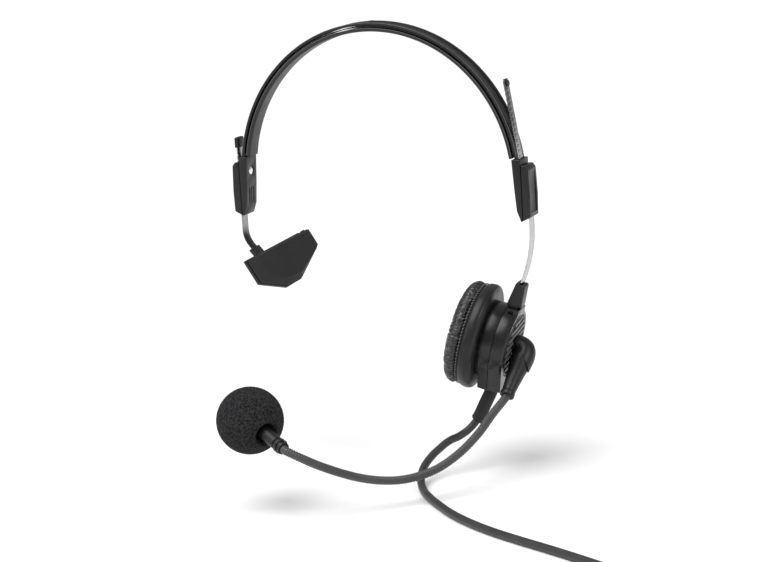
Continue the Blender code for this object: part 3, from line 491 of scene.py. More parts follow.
def cord_points():
    """The lead's route, the coil, and a short tail that ends inside the connector's boot."""
    coil = coil_points()
    leaving = Vector(coil[-1])
    tail = [leaving + Vector((-13, -2.3, -1.6)), leaving + Vector((-28, -4.6, 0.6))]
    end = leaving + Vector((-44.2, -5.5, 0))
    end.z = TABLE_Z + CONNECTOR_RADIUS
    return CORD_ROUTE + coil + tail + [end]


def make_cord():
    points = cord_points()
    curve = bpy.data.curves.new("cord", "CURVE")
    curve.dimensions = "3D"
    curve.bevel_depth = CORD_DIAMETER / 2 * MM
    curve.bevel_resolution = 5
    curve.resolution_u = 6
    curve.use_fill_caps = True
    spline = curve.splines.new("BEZIER")
    spline.bezier_points.add(len(points) - 1)
    for knot, place in zip(spline.bezier_points, points):
        knot.co = Vector(place) * MM
        knot.handle_left_type = "AUTO"
        knot.handle_right_type = "AUTO"
    curve.materials.append(FINISHES["cord_jacket"].material)
    cord = bpy.data.objects.new("cord", curve)
    bpy.context.scene.collection.objects.link(cord)
    fit(cord, "ear_cup", "cord_jacket", "cord_lead", "cord_coil", "cord_tail")
    length = sum((Vector(b) - Vector(a)).length for a, b in zip(points, points[1:])) * MM
    return cord, length


SLEEVE_SPACING = 0.45
SLEEVE_RADIUS = 3.72
LIP_RADIUS = 3.9
LIP_LENGTH = 1.6
LIP_ROUNDING = 0.6


def make_strain_relief():
    """Bent rubber sleeve with a thicker lip where the cord comes out."""
    inside = [CUP @ (Vector(place) * MM) / MM for place in ((13.8, 0, -20), (14.4, 0, -26))]
    knots = [*inside, (57.2, -2.9, -209.3), BOOT_END, CORD_ROUTE[1]]
    route = smooth_route(knots, SLEEVE_SPACING)
    past_end = round((Vector(knots[-1]) - Vector(knots[-2])).length / SLEEVE_SPACING)
    route = route[:len(route) - past_end + 2]
    last = len(route) - 1

    def radius(index):
        from_lip = (last - index) * SLEEVE_SPACING
        if from_lip < LIP_ROUNDING:
            return LIP_RADIUS - LIP_ROUNDING
        return LIP_RADIUS if from_lip < LIP_LENGTH else SLEEVE_RADIUS

    sleeve = sweep("strain_relief_sleeve", route, radius, "rubber", 40)
    fit(sleeve, "ear_cup", "rubber", "strain_relief")


def make_coil_tie():
    """Hook-and-loop strap: a flat band round the turns."""
    band = CORD_DIAMETER * COIL_TURNS_WIDE
    low = -band / 2 - 1.7
    high = band / 2 + 1.0
    top = CORD_DIAMETER * 2 + 0.9
    loop = rounded([(low, 0.3), (high, 0.3), (high, top), (low, top)], 2.2, 6)
    middle_x = (low + high) / 2
    middle_z = top / 2
    verts = []
    for edge, inset in ((-TIE_HALF_WIDTH, 0.0), (TIE_HALF_WIDTH, 0.0),
                        (TIE_HALF_WIDTH, TIE_THICKNESS), (-TIE_HALF_WIDTH, TIE_THICKNESS)):
        for x, z in loop:
            reach = max(abs(x - middle_x), 0.01) / ((high - low) / 2)
            rise = max(abs(z - middle_z), 0.01) / (top / 2)
            grown_x = x + math.copysign(inset * reach, x - middle_x) * 0.5
            grown_z = z + math.copysign(inset * rise, z - middle_z) * 0.35
            verts.append((grown_x, edge, max(grown_z, 0.0)))
    faces = ring_faces(4, len(loop), True)
    x, y = around(COIL_MEAN_RADIUS, math.radians(TIE_ANGLE))
    place = shift(COIL_CENTRE[0] + x, COIL_CENTRE[1] + y, TABLE_Z)
    tie = add_object("coil_tie_strap", verts, faces, "rubber", place @ turn(TIE_ANGLE, "Z"))
    fit(tie, "ear_cup", "rubber", "coil_tie")
    return tie


def make_connector():
    """Ribbed rubber boot, and a metal shell with a knurled back, slotted middle and nose."""
    leaving = Vector(coil_points()[-1])
    start = leaving + Vector((-45, -5.5, 0))
    start.z = TABLE_Z + CONNECTOR_RADIUS
    place = shift(*start) @ Vector((-1, 0, 0)).to_track_quat("Z", "Y").to_matrix().to_4x4()
    profile = [(2.3, 0.3), (3.4, 0.3)]
    for rib in range(5):
        height = 1.5 + rib * 2.2
        reach = 3.7 + rib * 0.42
        profile += [(reach, height), (reach + 0.25, height + 0.3), (reach + 0.3, height + 1.2),
                    (reach - 0.35, height + 1.5), (reach - 0.3, height + 2.0)]
    profile += [(6.1, 13.0), (6.2, 17.0), (2.3, 17.0)]
    boot = turned("connector_ribbed_boot", profile, "rubber", place, 0.2, 48)
    fit(boot, "ear_cup", "rubber", "connector_boot")

    def knurled(angle, reach, height):
        if reach > CONNECTOR_RADIUS - 0.1 and 22.5 < height < 34:
            reach -= 0.18 * (0.5 + 0.5 * math.cos(angle * 48))
        return reach, height

    full = CONNECTOR_RADIUS
    groove = full - 0.5
    knurled_profile = [(full, 37.0), (full, 36.0), (groove, 35.4), (groove, 34.6), (full, 34.0),
                       (full, 33.0), (full, 23.0), (full, 22.0), (groove, 20.6), (7.0, 17.4),
                       (2.6, 17.4), (2.6, 19.0), (SHELL_BORE, 20.2), (SHELL_BORE, 37.0)]
    ring = turned("connector_knurled_shell", knurled_profile, "nickel", place, 0.12, 192, knurled)
    nose_profile = [(SHELL_BORE, 61.0), (full - 0.3, 61.0), (full, 60.6), (full, 57.5),
                    (full - 0.4, 57.2), (full - 0.4, 55.6), (full, 55.3), (full, 54.0),
                    (SHELL_BORE, 54.0)]
    nose = turned("connector_nose", nose_profile, "nickel", place, 0.12, 96)
    middle = make_slotted_shell(place)
    fit(ring, "ear_cup", "nickel", "connector_shell")
    fit(nose, "ear_cup", "nickel")
    fit(middle, "ear_cup", "nickel")
    return [boot, ring, nose, middle]


def make_slotted_shell(place):
    """The shell's middle, cut away on top for the latch."""
    half_angle = math.radians(17.5)
    steps = 84
    verts = []
    for step in range(steps + 1):
        angle = math.pi / 2 + half_angle + (2 * math.pi - 2 * half_angle) * step / steps
        for reach, height in ((CONNECTOR_RADIUS, 37.0), (CONNECTOR_RADIUS, 54.0),
                              (SHELL_BORE, 54.0), (SHELL_BORE, 37.0)):
            verts.append((*around(reach, angle), height))
    return add_object("connector_slotted_shell", verts, ring_faces(steps + 1, 4, caps=True),
                      "nickel", place)


# ---- headband -----------------------------------------------------------------
def arch_sweep(name, section, end_angle, finish, steps=160):
    """A closed (across, outwards) section carried along the elliptical arch."""
    verts = []
    for step in range(steps + 1):
        angle = math.radians(end_angle * (2 * step / steps - 1))
        for across, offset in section:
            verts.append(((ARCH_HALF_WIDTH + offset) * math.sin(angle), across,
                          ARCH_Z + (ARCH_HEIGHT + offset) * math.cos(angle)))
    return add_object(name, verts, ring_faces(steps + 1, len(section), caps=True), finish,
                      sharp=50)


def make_band():
    """Grooved outer rail, inner strip, the spring leaf between, and a thin light bead along the
    edge of each, a painted highlight.
    """
    half = BAND_WIDTH / 2 - 0.25
    top = BAND_HALF_THICKNESS
    low = top - OUTER_LAYER
    floor = top - CHANNEL_DEPTH
    channel = CHANNEL_HALF_WIDTH
    outer_section = rounded([(-half, low), (half, low), (half, top), (channel, top),
                             (channel, floor), (-channel, floor), (-channel, top), (-half, top)],
                            0.32, 3)
    outer = arch_sweep("band_outer_rail", outer_section, OUTER_END, "black_plastic")
    fit(outer, "headband", "black_plastic", "band_outer_layer")

    edge = BAND_WIDTH / 2
    inside = -BAND_HALF_THICKNESS
    inner_section = rounded([(-edge, inside + 0.7), (-edge + 0.9, inside), (edge - 0.9, inside),
                             (edge, inside + 0.7), (edge, inside + INNER_LAYER),
                             (-edge, inside + INNER_LAYER)], 0.45, 3)
    inner = arch_sweep("band_inner_strip", inner_section, INNER_END, "grey_plastic")
    fit(inner, "headband", "grey_plastic", "band_inner_layer")

    spring_section = rounded([(-4.0, -0.1), (4.0, -0.1), (4.0, 0.5), (-4.0, 0.5)], 0.15, 2)
    spring = arch_sweep("band_spring_leaf", spring_section, SPRING_END, "dark_steel")
    fit(spring, "headband", "spring_steel", "band_spring_strip")

    # thin light beads along the layers' edges: painted highlights
    for name, across, out in (("band_inner_highlight_bead", -5.62, -0.62), ("band_outer_highlight_bead", -5.42, 2.32)):
        half = 0.16
        section = rounded([(across - half, out - half), (across + half, out - half),
                           (across + half, out + half), (across - half, out + half)], 0.1, 2)
        bead = arch_sweep(name, section, EDGE_BEAD_END, "edge_highlight_plastic")
        fit(bead, "headband", "grey_plastic")


# ---- straps -------------------------------------------------------------------
def strap_path(start, legs):
    """(travelled, x, z, heading) along straight and round legs, every 0.3 mm or so."""
    x, z, heading = start
    heading = math.radians(heading)
    path = [(0.0, x, z, heading)]
    for kind, *values in legs:
        length = values[0] if kind == "line" else abs(values[0] * math.radians(values[1]))
        bend = 0.0 if kind == "line" else math.radians(values[1])
        steps = max(2, round(length / 0.3))
        for _ in range(steps):
            heading += bend / steps / 2
            x += length / steps * math.sin(heading)
            z -= length / steps * math.cos(heading)
            heading += bend / steps / 2
            path.append((path[-1][0] + length / steps, x, z, heading))
    return path


def make_strap(name, node, body, finish, start, legs, notches):
    """Steel strip with a row of punched ratchet notches down its front edge."""
    half_thick = STRAP_THICKNESS / 2
    soft = 0.15
    verts = []
    path = strap_path(start, legs)
    for travelled, x, z, heading in path:
        depth = 0.0
        if notches[0] < travelled < notches[1]:
            share = (travelled - notches[0]) / NOTCH_PITCH % 1
            depth = NOTCH_DEPTH * (ease(share / 0.4) - ease((share - 0.4) / 0.15))
        front = depth - STRAP_WIDTH / 2
        back = STRAP_WIDTH / 2
        crown = ease(min(travelled, path[-1][0] - travelled) / 1.5)
        front *= 0.75 + 0.25 * crown
        back *= 0.75 + 0.25 * crown
        ring = [(front + soft, -half_thick), (back - soft, -half_thick), (back, -half_thick + soft),
                (back, half_thick - soft), (back - soft, half_thick), (front + soft, half_thick),
                (front, half_thick - soft), (front, -half_thick + soft)]
        for across, out in ring:
            verts.append((x + out * math.cos(heading), across, z + out * math.sin(heading)))
    strap = add_object(name, verts, ring_faces(len(path), 8, caps=True), finish, sharp=55)
    fit(strap, body, "spring_steel", node)


def make_straps():
    lean = math.radians(STRAP_LEAN)
    gate_x, gate_z = EARPHONE_STRAP_GATE
    top_x = gate_x + (gate_z - EARPHONE_STRAP_TOP_Z) * math.tan(lean)
    # this strap's finish has a painted reflection and painted shade along its length
    make_strap("earphone_notched_strap", "earphone_strap", "earphone_strap", "spring_steel",
               (top_x, EARPHONE_STRAP_TOP_Z, STRAP_LEAN),
               [("line", 69 / math.cos(lean)), ("arc", 76, -STRAP_LEAN - 23), ("line", 3.2)],
               (6, 68))
    # this strap's finish has painted shade at its bend
    make_strap("temple_notched_strap", "temple_strap", "temple_strap", "temple_steel_painted_shade",
               (TEMPLE_STRAP_X, TEMPLE_STRAP_TOP_Z, 0),
               [("line", 52.9), ("arc", 14, STRAP_END_LEAN), ("line", 6.0)], (8, 44))


# ---- temple pad ---------------------------------------------------------------
PAD_OUTLINE = [(-21.5, 1.7), (34.4, 1.7), (35.2, 0.7), (36.4, 0.7), (37.2, 1.7), (40.4, 1.7),
               (40.4, -9.8), (37.4, -12.0), (13.5, -21.6), (-1.5, -21.8), (-21.5, -13.0)]
PAD_FACE = [(-14.6, 0.9), (34.4, 0.9), (35.2, 0.0), (36.4, 0.0), (37.2, 0.9), (39.8, 0.9),
            (39.8, -9.4), (36.6, -11.4), (12.0, -19.4), (-1.0, -18.2), (-14.6, -12.4)]


def make_temple_pad():
    """Moulded pad: a flat main face with a long facet at its end and one along its foot."""
    count = len(PAD_OUTLINE)
    levels = [(PAD_OUTLINE, 5.9, 0.97), (PAD_OUTLINE, 6.2, 1.0), (PAD_OUTLINE, 7.0, 1.0),
              (PAD_OUTLINE, 7.2, 0.992), (PAD_FACE, 9.3, 1.0), (PAD_FACE, 9.4, 0.985)]
    middle = Vector((9.0, -8.5))
    verts = []
    for outline, height, size in levels:
        for point in outline:
            moved = middle + (Vector(point) - middle) * size
            verts.append((moved.x, moved.y, height))
    faces = ring_faces(len(levels), count, caps=True)
    pad = add_object("temple_pad_moulding", verts, faces, "pad_rubber", PAD_LAY, 14)
    fit(pad, "temple_pad", "pad_rubber", "temple_pad")


# ---- earphone -----------------------------------------------------------------
def cushion_section():
    """(radius, height) round the cushion, from the seam over its crown to the hole."""
    return rounded([(CUSHION_RADIUS - 0.8, SEAM_HEIGHT), (CUSHION_RADIUS, -5.0),
                    (CUSHION_RADIUS, -8.2), (CUSHION_RADIUS - 2.8, -11.2),
                    (CUSHION_MIDDLE_RADIUS, -12.0), (15.0, -11.0), (CUSHION_HOLE, -7.4),
                    (CUSHION_HOLE + 0.6, SEAM_HEIGHT)], 3.6, 5)


CUSHION_STEPS = 220
SIMULATION_SCALE = 10.0     # the cloth solver works best on something half a metre across
SIMULATION_FRAMES = 20
HELD_ROWS = 4               # at each edge of the cover
MOST_MOVED = 0.9            # millimetres


def simulate_cushion(cushion, section_count):
    """Blow the cover up a little, with spare cloth, held where it is sewn to the ring."""
    mesh = cushion.data
    places = [vertex.co.copy() for vertex in mesh.vertices]
    centre = CUP @ Vector((0, 0, 0))
    for vertex in mesh.vertices:
        vertex.co = (vertex.co - centre) * SIMULATION_SCALE
    held = cushion.vertex_groups.new(name="held")
    for number in range(len(places)):
        place = number % section_count
        if place < HELD_ROWS or place >= section_count - HELD_ROWS:
            held.add([number], 1.0, "REPLACE")
    cloth = cushion.modifiers.new("cloth", "CLOTH")
    settings = cloth.settings
    settings.quality = 5
    settings.mass = 0.25
    settings.vertex_group_mass = "held"
    settings.tension_stiffness = 12
    settings.compression_stiffness = 12
    settings.shear_stiffness = 5
    settings.bending_stiffness = 0.05
    settings.use_pressure = True
    settings.uniform_pressure_force = 4.0
    settings.shrink_min = -0.06
    settings.effector_weights.gravity = 0.0
    cloth.point_cache.frame_start = 1
    cloth.point_cache.frame_end = SIMULATION_FRAMES
    for number in range(1, SIMULATION_FRAMES + 1):
        bpy.context.scene.frame_set(number)
    evaluated = cushion.evaluated_get(bpy.context.evaluated_depsgraph_get())
    moved = [vertex.co.copy() for vertex in evaluated.data.vertices]
    cushion.modifiers.remove(cloth)
    bpy.context.scene.frame_set(1)
    for vertex, rest, new in zip(mesh.vertices, places, moved):
        step = new / SIMULATION_SCALE + centre - rest
        if step.length > MOST_MOVED * MM:
            step *= MOST_MOVED * MM / step.length
        vertex.co = rest + step


def wrinkle(angle, share):
    """Depth of the cover's creases: they run in from the seam and fade on the crown."""
    wide = Vector((*around(15, angle), share * 1.5))
    fine = Vector((*around(36, angle), share * 2.2 + 4))
    deep = max(1 - abs(noise.noise(wide)) * 4.0, 0.0)
    small = max(1 - abs(noise.noise(fine)) * 3.0, 0.0)
    fade = ease(share / 0.04) * (1 - ease((share - 0.50) / 0.35))
    return fade * (0.62 * deep**1.5 + 0.55 * small**1.3)


def make_cushion():
    """Leatherette cover, blown up a little and then creased inwards from its seam."""
    section = cushion_section()
    cushion = turned("ear_cushion_cover", section, "leatherette", CUP_TURNED, 0, CUSHION_STEPS,
                     sharp=180)
    simulate_cushion(cushion, len(section))
    subdivide = cushion.modifiers.new("smooth", "SUBSURF")
    subdivide.levels = 1
    subdivide.render_levels = 1
    evaluated = cushion.evaluated_get(bpy.context.evaluated_depsgraph_get())
    fine = bpy.data.meshes.new_from_object(evaluated)
    cushion.modifiers.clear()
    cushion.data = fine
    inverse = CUP_TURNED.inverted()
    for vertex in fine.vertices:
        local = inverse @ vertex.co / MM
        reach = math.hypot(local.x, local.y)
        angle = math.atan2(local.y, local.x)
        outward = Vector((local.x, local.y, 0)) / reach
        past_middle = reach - CUSHION_MIDDLE_RADIUS
        from_middle = outward * past_middle + Vector((0, 0, local.z - CUSHION_MIDDLE_HEIGHT))
        share = math.atan2(SEAM_HEIGHT - local.z, past_middle) / math.pi
        local -= from_middle.normalized() * wrinkle(angle, share)
        vertex.co = CUP_TURNED @ (local * MM)
    fine.shade_smooth()
    fit(cushion, "ear_cup", "leatherette", "ear_cushion")


STITCHES = 92
STITCH_PLACES = 7
STITCH_SIDES = 6
STITCH_LEAN = 0.22
STITCH_LIFT = 0.25
THREAD_RADIUS = 0.27


def make_stitches():
    """Short threads over the seam between the cushion's cover and the ring."""
    verts = []
    faces = []
    for number in range(STITCHES):
        middle = 2 * math.pi * number / STITCHES
        for place in range(STITCH_PLACES):
            along = (place / (STITCH_PLACES - 1) - 0.5) * 2
            angle = middle + along * 0.62 * math.pi / STITCHES
            height = SEAM_HEIGHT - 0.1 - STITCH_LEAN * along
            lift = STITCH_LIFT * (1 - along * along)
            thick = THREAD_RADIUS * math.sqrt(max(0.05, 1 - along**4))
            for side in range(STITCH_SIDES):
                turned_by = 2 * math.pi * side / STITCH_SIDES
                reach = CUSHION_RADIUS + 0.15 + lift + thick * math.cos(turned_by)
                verts.append((*around(reach, angle), height + thick * math.sin(turned_by)))
        start = number * STITCH_PLACES * STITCH_SIDES
        faces += [tuple(start + corner for corner in face)
                  for face in ring_faces(STITCH_PLACES, STITCH_SIDES, caps=True)]
    stitch = add_object("cushion_stitches", verts, faces, "thread", CUP_TURNED, 60)
    fit(stitch, "ear_cup", "leatherette")


def make_ring_and_chin():
    """The ring that holds the cushion, the piping of its seam, and the housings' chins."""
    ring_profile = [(20.2, 5.2), (26.6, 5.2), (29.3, 4.0), (RING_RADIUS, 1.8), (29.6, -1.2),
                    (28.3, -3.0), (18.8, -3.0), (18.8, 5.2)]
    ring = turned("cushion_ring_moulding", ring_profile, "black_plastic", CUP_TURNED, 0.9, 144)
    piping = turned("cushion_piping", [(26.5, -2.7), (28.35, -2.7), (28.35, -3.9), (26.5, -3.9)],
                    "rubber", CUP_TURNED, 0.3, 144)
    fit(ring, "ear_cup", "black_plastic", "cushion_ring")
    fit(piping, "ear_cup", "black_plastic")
    make_chin("inner_chin_blend", [(7.4, 0.5), (7.8, 0.05), (12.6, 0.0), (12.9, 0.25)])
    make_chin("outer_chin_blend", [(13.1, 0.25), (13.4, 0.0), (19.5, 0.5), (20.1, 0.95),
                                   (20.55, 1.5)])


def chin_outline(radius, bottom):
    """Right to left under the drum: a straight side from its tangent, a flat foot, and back."""
    leave = math.radians(CHIN_LEAVES_DRUM)
    start = Vector(around(radius, leave))
    along = Vector((math.sin(leave), -math.cos(leave)))
    corner = start + along * ((bottom - start.y) / along.y)
    side = [start.lerp(corner, share) for share in (0, 0.8, 0.9, 1)]
    line = side + [Vector((-point.x, point.y)) for point in reversed(side)]
    return rounded(line, 1.6, 5, closed=False)


def make_chin(name, levels, inner_radius=18.3):
    """The drum's foot for the cord, run smoothly into the drum; levels are (x, inset)."""
    outlines = [chin_outline(DRUM_RADIUS - inset, CHIN_FOOT + inset) for _, inset in levels]
    verts = []
    for places in zip(*outlines):
        ends = []
        for (x, _), (y, z) in zip(levels, places):
            reach = math.hypot(y, z)
            ends.append((x, y * inner_radius / reach, z * inner_radius / reach))
            verts.append((x, y, z))
        verts += [ends[-1], ends[0]]
    columns = len(levels) + 2
    chin = add_object(name, verts, ring_faces(len(outlines[0]), columns, caps=True), "shiny_black",
                      CUP, 34)
    fit(chin, "ear_cup", "black_plastic")


def disc_rib(offset, low, high, width, foot, crown):
    """Round-topped bar at a height offset, from low to high along its length."""
    section = [(-width / 2, foot), (width / 2, foot)]
    for step in range(7):
        angle = math.pi * step / 6
        section.append((width / 2 * math.cos(angle), crown - 0.5 + 0.5 * math.sin(angle)))
    verts = []
    for place in (low, high):
        verts += [(out, place, offset + up) for up, out in section]
    return verts, ring_faces(2, len(section), caps=True)


BOSS_REACH = 6.3            # the bars stop this far from the boom's pivot
BARS_SLANT = 9.0            # degrees


def make_grille():
    """Rim, boss and slanting round-topped bars, dark below, with a painted highlight along their
    crowns.
    """
    rim = turned("grille_rim", [(GRILLE_RADIUS - 1.5, 18.6), (GRILLE_RADIUS - 1.5, 20.4),
                                (GRILLE_RADIUS - 0.9, 20.8), (GRILLE_RADIUS, 20.5),
                                (GRILLE_RADIUS, 18.6)], "black_plastic", CUP_TURNED, 0.25, 120)
    boss = turned("grille_boss", [(4.6, 18.6), (6.6, 18.6), (6.6, 20.5), (6.0, 20.9), (4.6, 20.9)],
                  "black_plastic", CUP_TURNED, 0.25, 72)
    bars = []
    # the crowns are a lighter copy of the bars' plastic: a painted highlight where light catches
    # them
    for name, finish, foot, crown in (("grille_bars", "rubber", 18.7, 20.5),
                                      ("grille_bar_crowns_painted_highlight", "bar_crown_painted_highlight", 20.4, 21.35)):
        verts = []
        faces = []
        for number in range(-4, 5):
            offset = number * GRILLE_PITCH
            reach = math.sqrt((GRILLE_RADIUS - 1.2)**2 - offset**2)
            gaps = [(-reach, reach)]
            if abs(offset) < BOSS_REACH:
                edge = math.sqrt(BOSS_REACH**2 - offset**2)
                gaps = [(-reach, -edge), (edge, reach)]
            for low, high in gaps:
                rib_verts, rib_faces = disc_rib(offset, low, high, BAR_WIDTH, foot, crown)
                faces += [tuple(len(verts) + corner for corner in face) for face in rib_faces]
                verts += rib_verts
        bars.append(add_object(name, verts, faces, finish, CUP @ turn(BARS_SLANT, "X"), 50))
    fit(rim, "ear_cup", "black_plastic", "grille")
    for piece in (boss, *bars):
        fit(piece, "ear_cup", "black_plastic")


# ---- boom ---------------------------------------------------------------------
def sleeve_point(distance):
    """A place on the sleeve's axis, so far from the earphone's."""
    return tuple(BOOM @ (Vector((SLEEVE_X, 0, -distance)) * MM) / MM)


GOOSENECK_ROUTE = [sleeve_point(15.5), sleeve_point(24), sleeve_point(31), (73.2, -33.0, -206.4),
                   (69.0, -43.5, -214.3), (62.4, -55.0, -222.2), (54.6, -66.0, -227.8),
                   (46.8, -75.0, -230.2), (38.6, -82.5, -230.8), (30.2, -89.8, -229.4),
                   (22.2, -97.2, -226.3), (14.3, -105.1, -221.6), (6.9, -113.4, -215.9),
                   (0.4, -119.6, -210.6), (-7.2, -122.5, -206.2), (-10.25, -120.75, -205.15),
                   (-12.3, -119.5, -204.5)]
RIB_PLACES = (0.0, 0.03, 0.24, 0.30, 0.18)      # millimetres in from the jacket, along one rib
ELBOW_ROUTE = [(21.3, 0, 0.2), (24.5, 0, 0.2), (27.0, 0, -1.2), (28.1, 0, -4.4), (28.0, 0, -9.0),
               (27.6, 0, -14.0)]
ELBOW_RADIUS = 6.3
SEAM_PLACE = 21.0           # the slanting seam is where x + z is this, in the boom's frame
SEAM_HALF_GAP = 0.1
BOOM_FACE = 21.8            # the boom's pieces stay clear of the grille


def cut_piece(piece, plane_point, plane_normal):
    """Take off what is on the side that the normal points to, and close the cut."""
    shape = bmesh.new()
    shape.from_mesh(piece.data)
    place = BOOM @ (Vector(plane_point) * MM)
    normal = BOOM.to_3x3() @ Vector(plane_normal)
    cut = bmesh.ops.bisect_plane(shape, geom=[*shape.verts, *shape.edges, *shape.faces],
                                 plane_co=place, plane_no=normal, clear_outer=True)
    edges = [item for item in cut["geom_cut"] if isinstance(item, bmesh.types.BMEdge)]
    bmesh.ops.contextual_create(shape, geom=edges)
    shape.to_mesh(piece.data)
    shape.free()
    piece.data.set_sharp_from_angle(angle=math.radians(40))


def make_boom_elbow():
    """Round elbow on the earphone and the sleeve under it, parted along a slanting seam."""
    route = [BOOM @ (point * MM) / MM for point in smooth_route(ELBOW_ROUTE, 0.5)]
    last = len(route) - 1

    def radius(index):
        return ELBOW_RADIUS * (0.93 if index in (0, last) else 1)

    elbow = sweep("boom_elbow", route, radius, "black_plastic", 48)
    cut_piece(elbow, (SEAM_PLACE + SEAM_HALF_GAP, 0, 0), (-1, 0, -1))
    profile = [(0, 1.0), (6.3, 1.0), (6.5, -4.0), (6.2, -9.0), (5.0, -16.0), (4.2, -23.0),
               (3.75, -28.2), (4.1, -28.8), (4.1, -31.2), (2.8, -31.2), (2.8, -15.0), (0, -15.0)]
    sleeve = turned("boom_sleeve_fine", profile, "black_plastic", BOOM @ shift(SLEEVE_X, 0, 0), 0.5,
                    72)
    cut_piece(sleeve, (SEAM_PLACE - SEAM_HALF_GAP, 0, 0), (1, 0, 1))
    cut_piece(sleeve, (BOOM_FACE, 0, 0), (-1, 0, 0))
    fit(elbow, "boom", "black_plastic", "boom_cap")
    fit(sleeve, "boom", "black_plastic", "boom_sleeve")


def make_gooseneck():
    route = smooth_route(GOOSENECK_ROUTE, 0.27)
    jacket = sweep("gooseneck_jacket", route,
                   lambda index: GOOSENECK_DIAMETER / 2 - RIB_PLACES[index % len(RIB_PLACES)],
                   "boom_jacket", 24)
    fit(jacket, "boom", "boom_jacket", "gooseneck")


NECK_HOLE_RADIUS = 6.9
FOAM_RINGS = 96
FOAM_STEPS = 220


def make_windscreen():
    """Foam ball: cut cells make its surface rough, and its neck hole flares."""
    back = (Vector(GOOSENECK_ROUTE[-1]) - WINDSCREEN_CENTRE).normalized()
    place = shift(*WINDSCREEN_CENTRE) @ back.to_track_quat("Z", "Y").to_matrix().to_4x4()
    profile = [(0.6, -5.2), (5.15, -5.2), (5.15, 12.0), (5.5, 14.6), (6.3, 16.5)]
    first = math.asin(NECK_HOLE_RADIUS / WINDSCREEN_RADIUS)
    for index in range(FOAM_RINGS):
        angle = first + (math.pi * 0.995 - first) * index / (FOAM_RINGS - 1)
        profile.append(tuple(reversed(around(WINDSCREEN_RADIUS, angle))))

    def porous(angle, reach, height):
        if reach <= 6.2 and height >= -8:
            return reach, height
        point = Vector((*around(reach, angle), height))
        pores = noise.noise(point * 1.25) * 0.16 + noise.noise(point * 2.6) * 0.10
        size = 1 - max(pores, -0.05) * 0.045
        return reach * size, height * size

    foam = turned("windscreen_foam", profile, "foam", place, 0, FOAM_STEPS, porous, 180)
    fit(foam, "boom", "foam", "windscreen")


# ---- pieces made finer from the part's own solids -----------------------------
# name: (finish, width of the soft edge in millimetres)
REFINED = {
    "inner_housing": ("shiny_black", 0.28), "outer_housing": ("shiny_black", 0.28),
    "yoke_fin": ("black_plastic", 0.25),
    "earphone_clamp_block": ("black_plastic", 0.15), "temple_clamp_block": ("black_plastic", 0.15),
    "earphone_clamp_cover": ("black_plastic", 0.38), "temple_clamp_cover": ("black_plastic", 0.38),
    "temple_pad_holder": ("grey_plastic", 0.2), "temple_strap_stop": ("black_plastic", 0.2),
    "temple_strap_knuckle": ("black_plastic", 0.2), "connector_insert": ("black_plastic", 0.15),
    "connector_latch": ("black_plastic", 0.25), "mic_housing": ("black_plastic", 0.15),
    "mic_collar": ("black_plastic", 0.2), "baffle": ("black_plastic", 0.1),
}
NODE_FINISH = {"tilt_pin": "black_plastic", "mic_collar_clip": "grey_plastic"}
SHARP_EDGE = math.radians(30)
HOUSINGS = ("inner_housing", "outer_housing")
CHIN_DRAWN_FROM = -22.0      # millimetres, in the earphone's frame
CHIN_KEPT = 0.52             # share of the length below that


def draw_up(place):
    """Shorten what hangs below the drum, so that it stays inside the blended foot."""
    local = CUP.inverted() @ place
    below = local.z / MM - CHIN_DRAWN_FROM
    if below < 0:
        local.z = (CHIN_DRAWN_FROM + below * CHIN_KEPT) * MM
    return CUP @ local


def refine(name, finish, width):
    """A copy of a node with its flat faces made whole and its edges rounded over."""
    node = frame["nodes"][name]
    shape = bmesh.new()
    shape.from_mesh(node.data)
    bmesh.ops.remove_doubles(shape, verts=shape.verts, dist=0.002 * MM)
    bmesh.ops.dissolve_limit(shape, angle_limit=math.radians(0.6), verts=shape.verts,
                             edges=shape.edges)
    edges = [edge for edge in shape.edges
             if len(edge.link_faces) == 2 and edge.calc_face_angle(0) > SHARP_EDGE]
    bmesh.ops.bevel(shape, geom=edges, offset=width * MM, segments=2, profile=0.5,
                    affect="EDGES", clamp_overlap=True)
    bmesh.ops.triangulate(shape, faces=[face for face in shape.faces if len(face.verts) > 4])
    places = [draw_up(vertex.co) / MM if name in HOUSINGS else vertex.co / MM
              for vertex in shape.verts]
    faces = [tuple(vertex.index for vertex in face.verts) for face in shape.faces]
    shape.free()
    return add_object(name + "_fine", places, faces, finish, sharp=34)


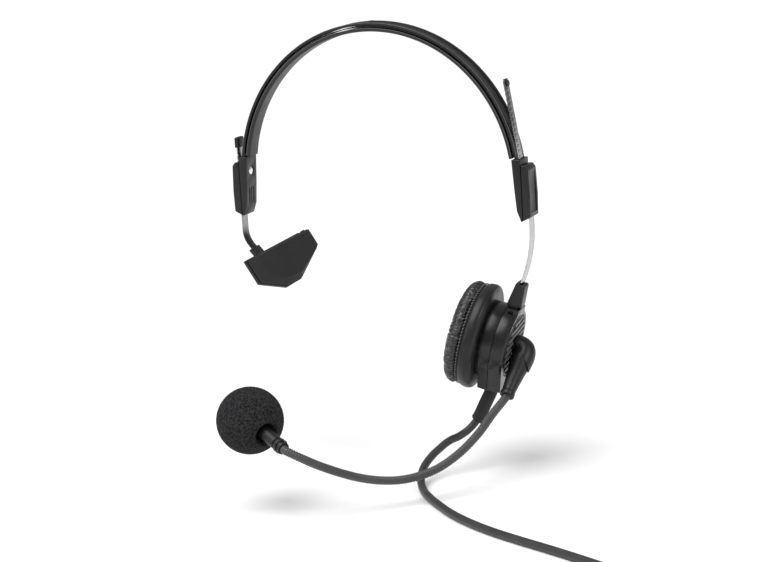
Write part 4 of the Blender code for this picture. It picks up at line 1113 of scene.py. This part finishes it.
def dress_nodes():
    """Fine copies of the nodes in REFINED, and a material for every node."""
    slots = {part["node"]: part["material_slot"] for part in frame["record"]["subparts"]}
    bodies = frame["record"]["behaviour"]["bodies"]
    for name, (finish, width) in REFINED.items():
        body = next(body for body, nodes in bodies.items() if name in nodes)
        fit(refine(name, finish, width), body, slots[name], name)
    for name, node in frame["nodes"].items():
        finish = FINISHES[NODE_FINISH.get(name, slots[name])]
        node.data.materials.clear()
        node.data.materials.append(finish.material)
        node.data.shade_smooth()
        node.data.set_sharp_from_angle(angle=SHARP_EDGE)


# ---- studio -------------------------------------------------------------------
def make_floor():
    size = 14000            # half its side, in millimetres
    verts = [(-size, -size, TABLE_Z), (size, -size, TABLE_Z), (size, size, TABLE_Z),
             (-size, size, TABLE_Z)]
    FINISHES["floor"] = Finish("pale_floor", (0.95, 0.95, 0.95), 0.95, specular=0.1)
    floor = add_object("floor", verts, [(0, 1, 2, 3)], "floor")


def aim(obj, place, target):
    """Put a light at a place in metres, pointing at the target."""
    obj.location = place
    obj.rotation_euler = (Vector(target) - Vector(place)).to_track_quat("-Z", "Y").to_euler()
    bpy.context.scene.collection.objects.link(obj)


def make_light(name, kind, place, energy, size):
    data = bpy.data.lights.new(name, kind)
    data.energy = energy
    if kind == "SUN":
        data.angle = math.radians(size)
    else:
        data.size = size
    aim(bpy.data.objects.new(name, data), place, (0, 0, -0.12))


def make_studio():
    make_floor()
    world = bpy.data.worlds.new("studio")
    world.use_nodes = True
    fill(world.node_tree.nodes["Background"], {"Color": (1, 1, 1, 1), "Strength": 0.40})
    bpy.context.scene.world = world
    make_light("key", "SUN", (-0.7, -0.9, 2.4), 2.4, 50)
    make_light("side", "AREA", (1.6, -0.3, 0.9), 9, 0.7)
    make_light("front", "AREA", (-1.3, -1.3, 0.5), 5, 0.6)
    bpy.context.scene.view_settings.view_transform = "Standard"
    bpy.context.scene.view_settings.look = "None"


cord, cord_length = make_cord()
make_strain_relief()
cord_pieces = [make_coil_tie(), *make_connector()]
make_band()
make_straps()
make_temple_pad()
make_cushion()
make_stitches()
make_ring_and_chin()
make_grille()
make_boom_elbow()
make_gooseneck()
make_windscreen()
dress_nodes()
cord_pieces += [bpy.data.objects["connector_insert_fine"], bpy.data.objects["connector_latch_fine"]]
make_studio()
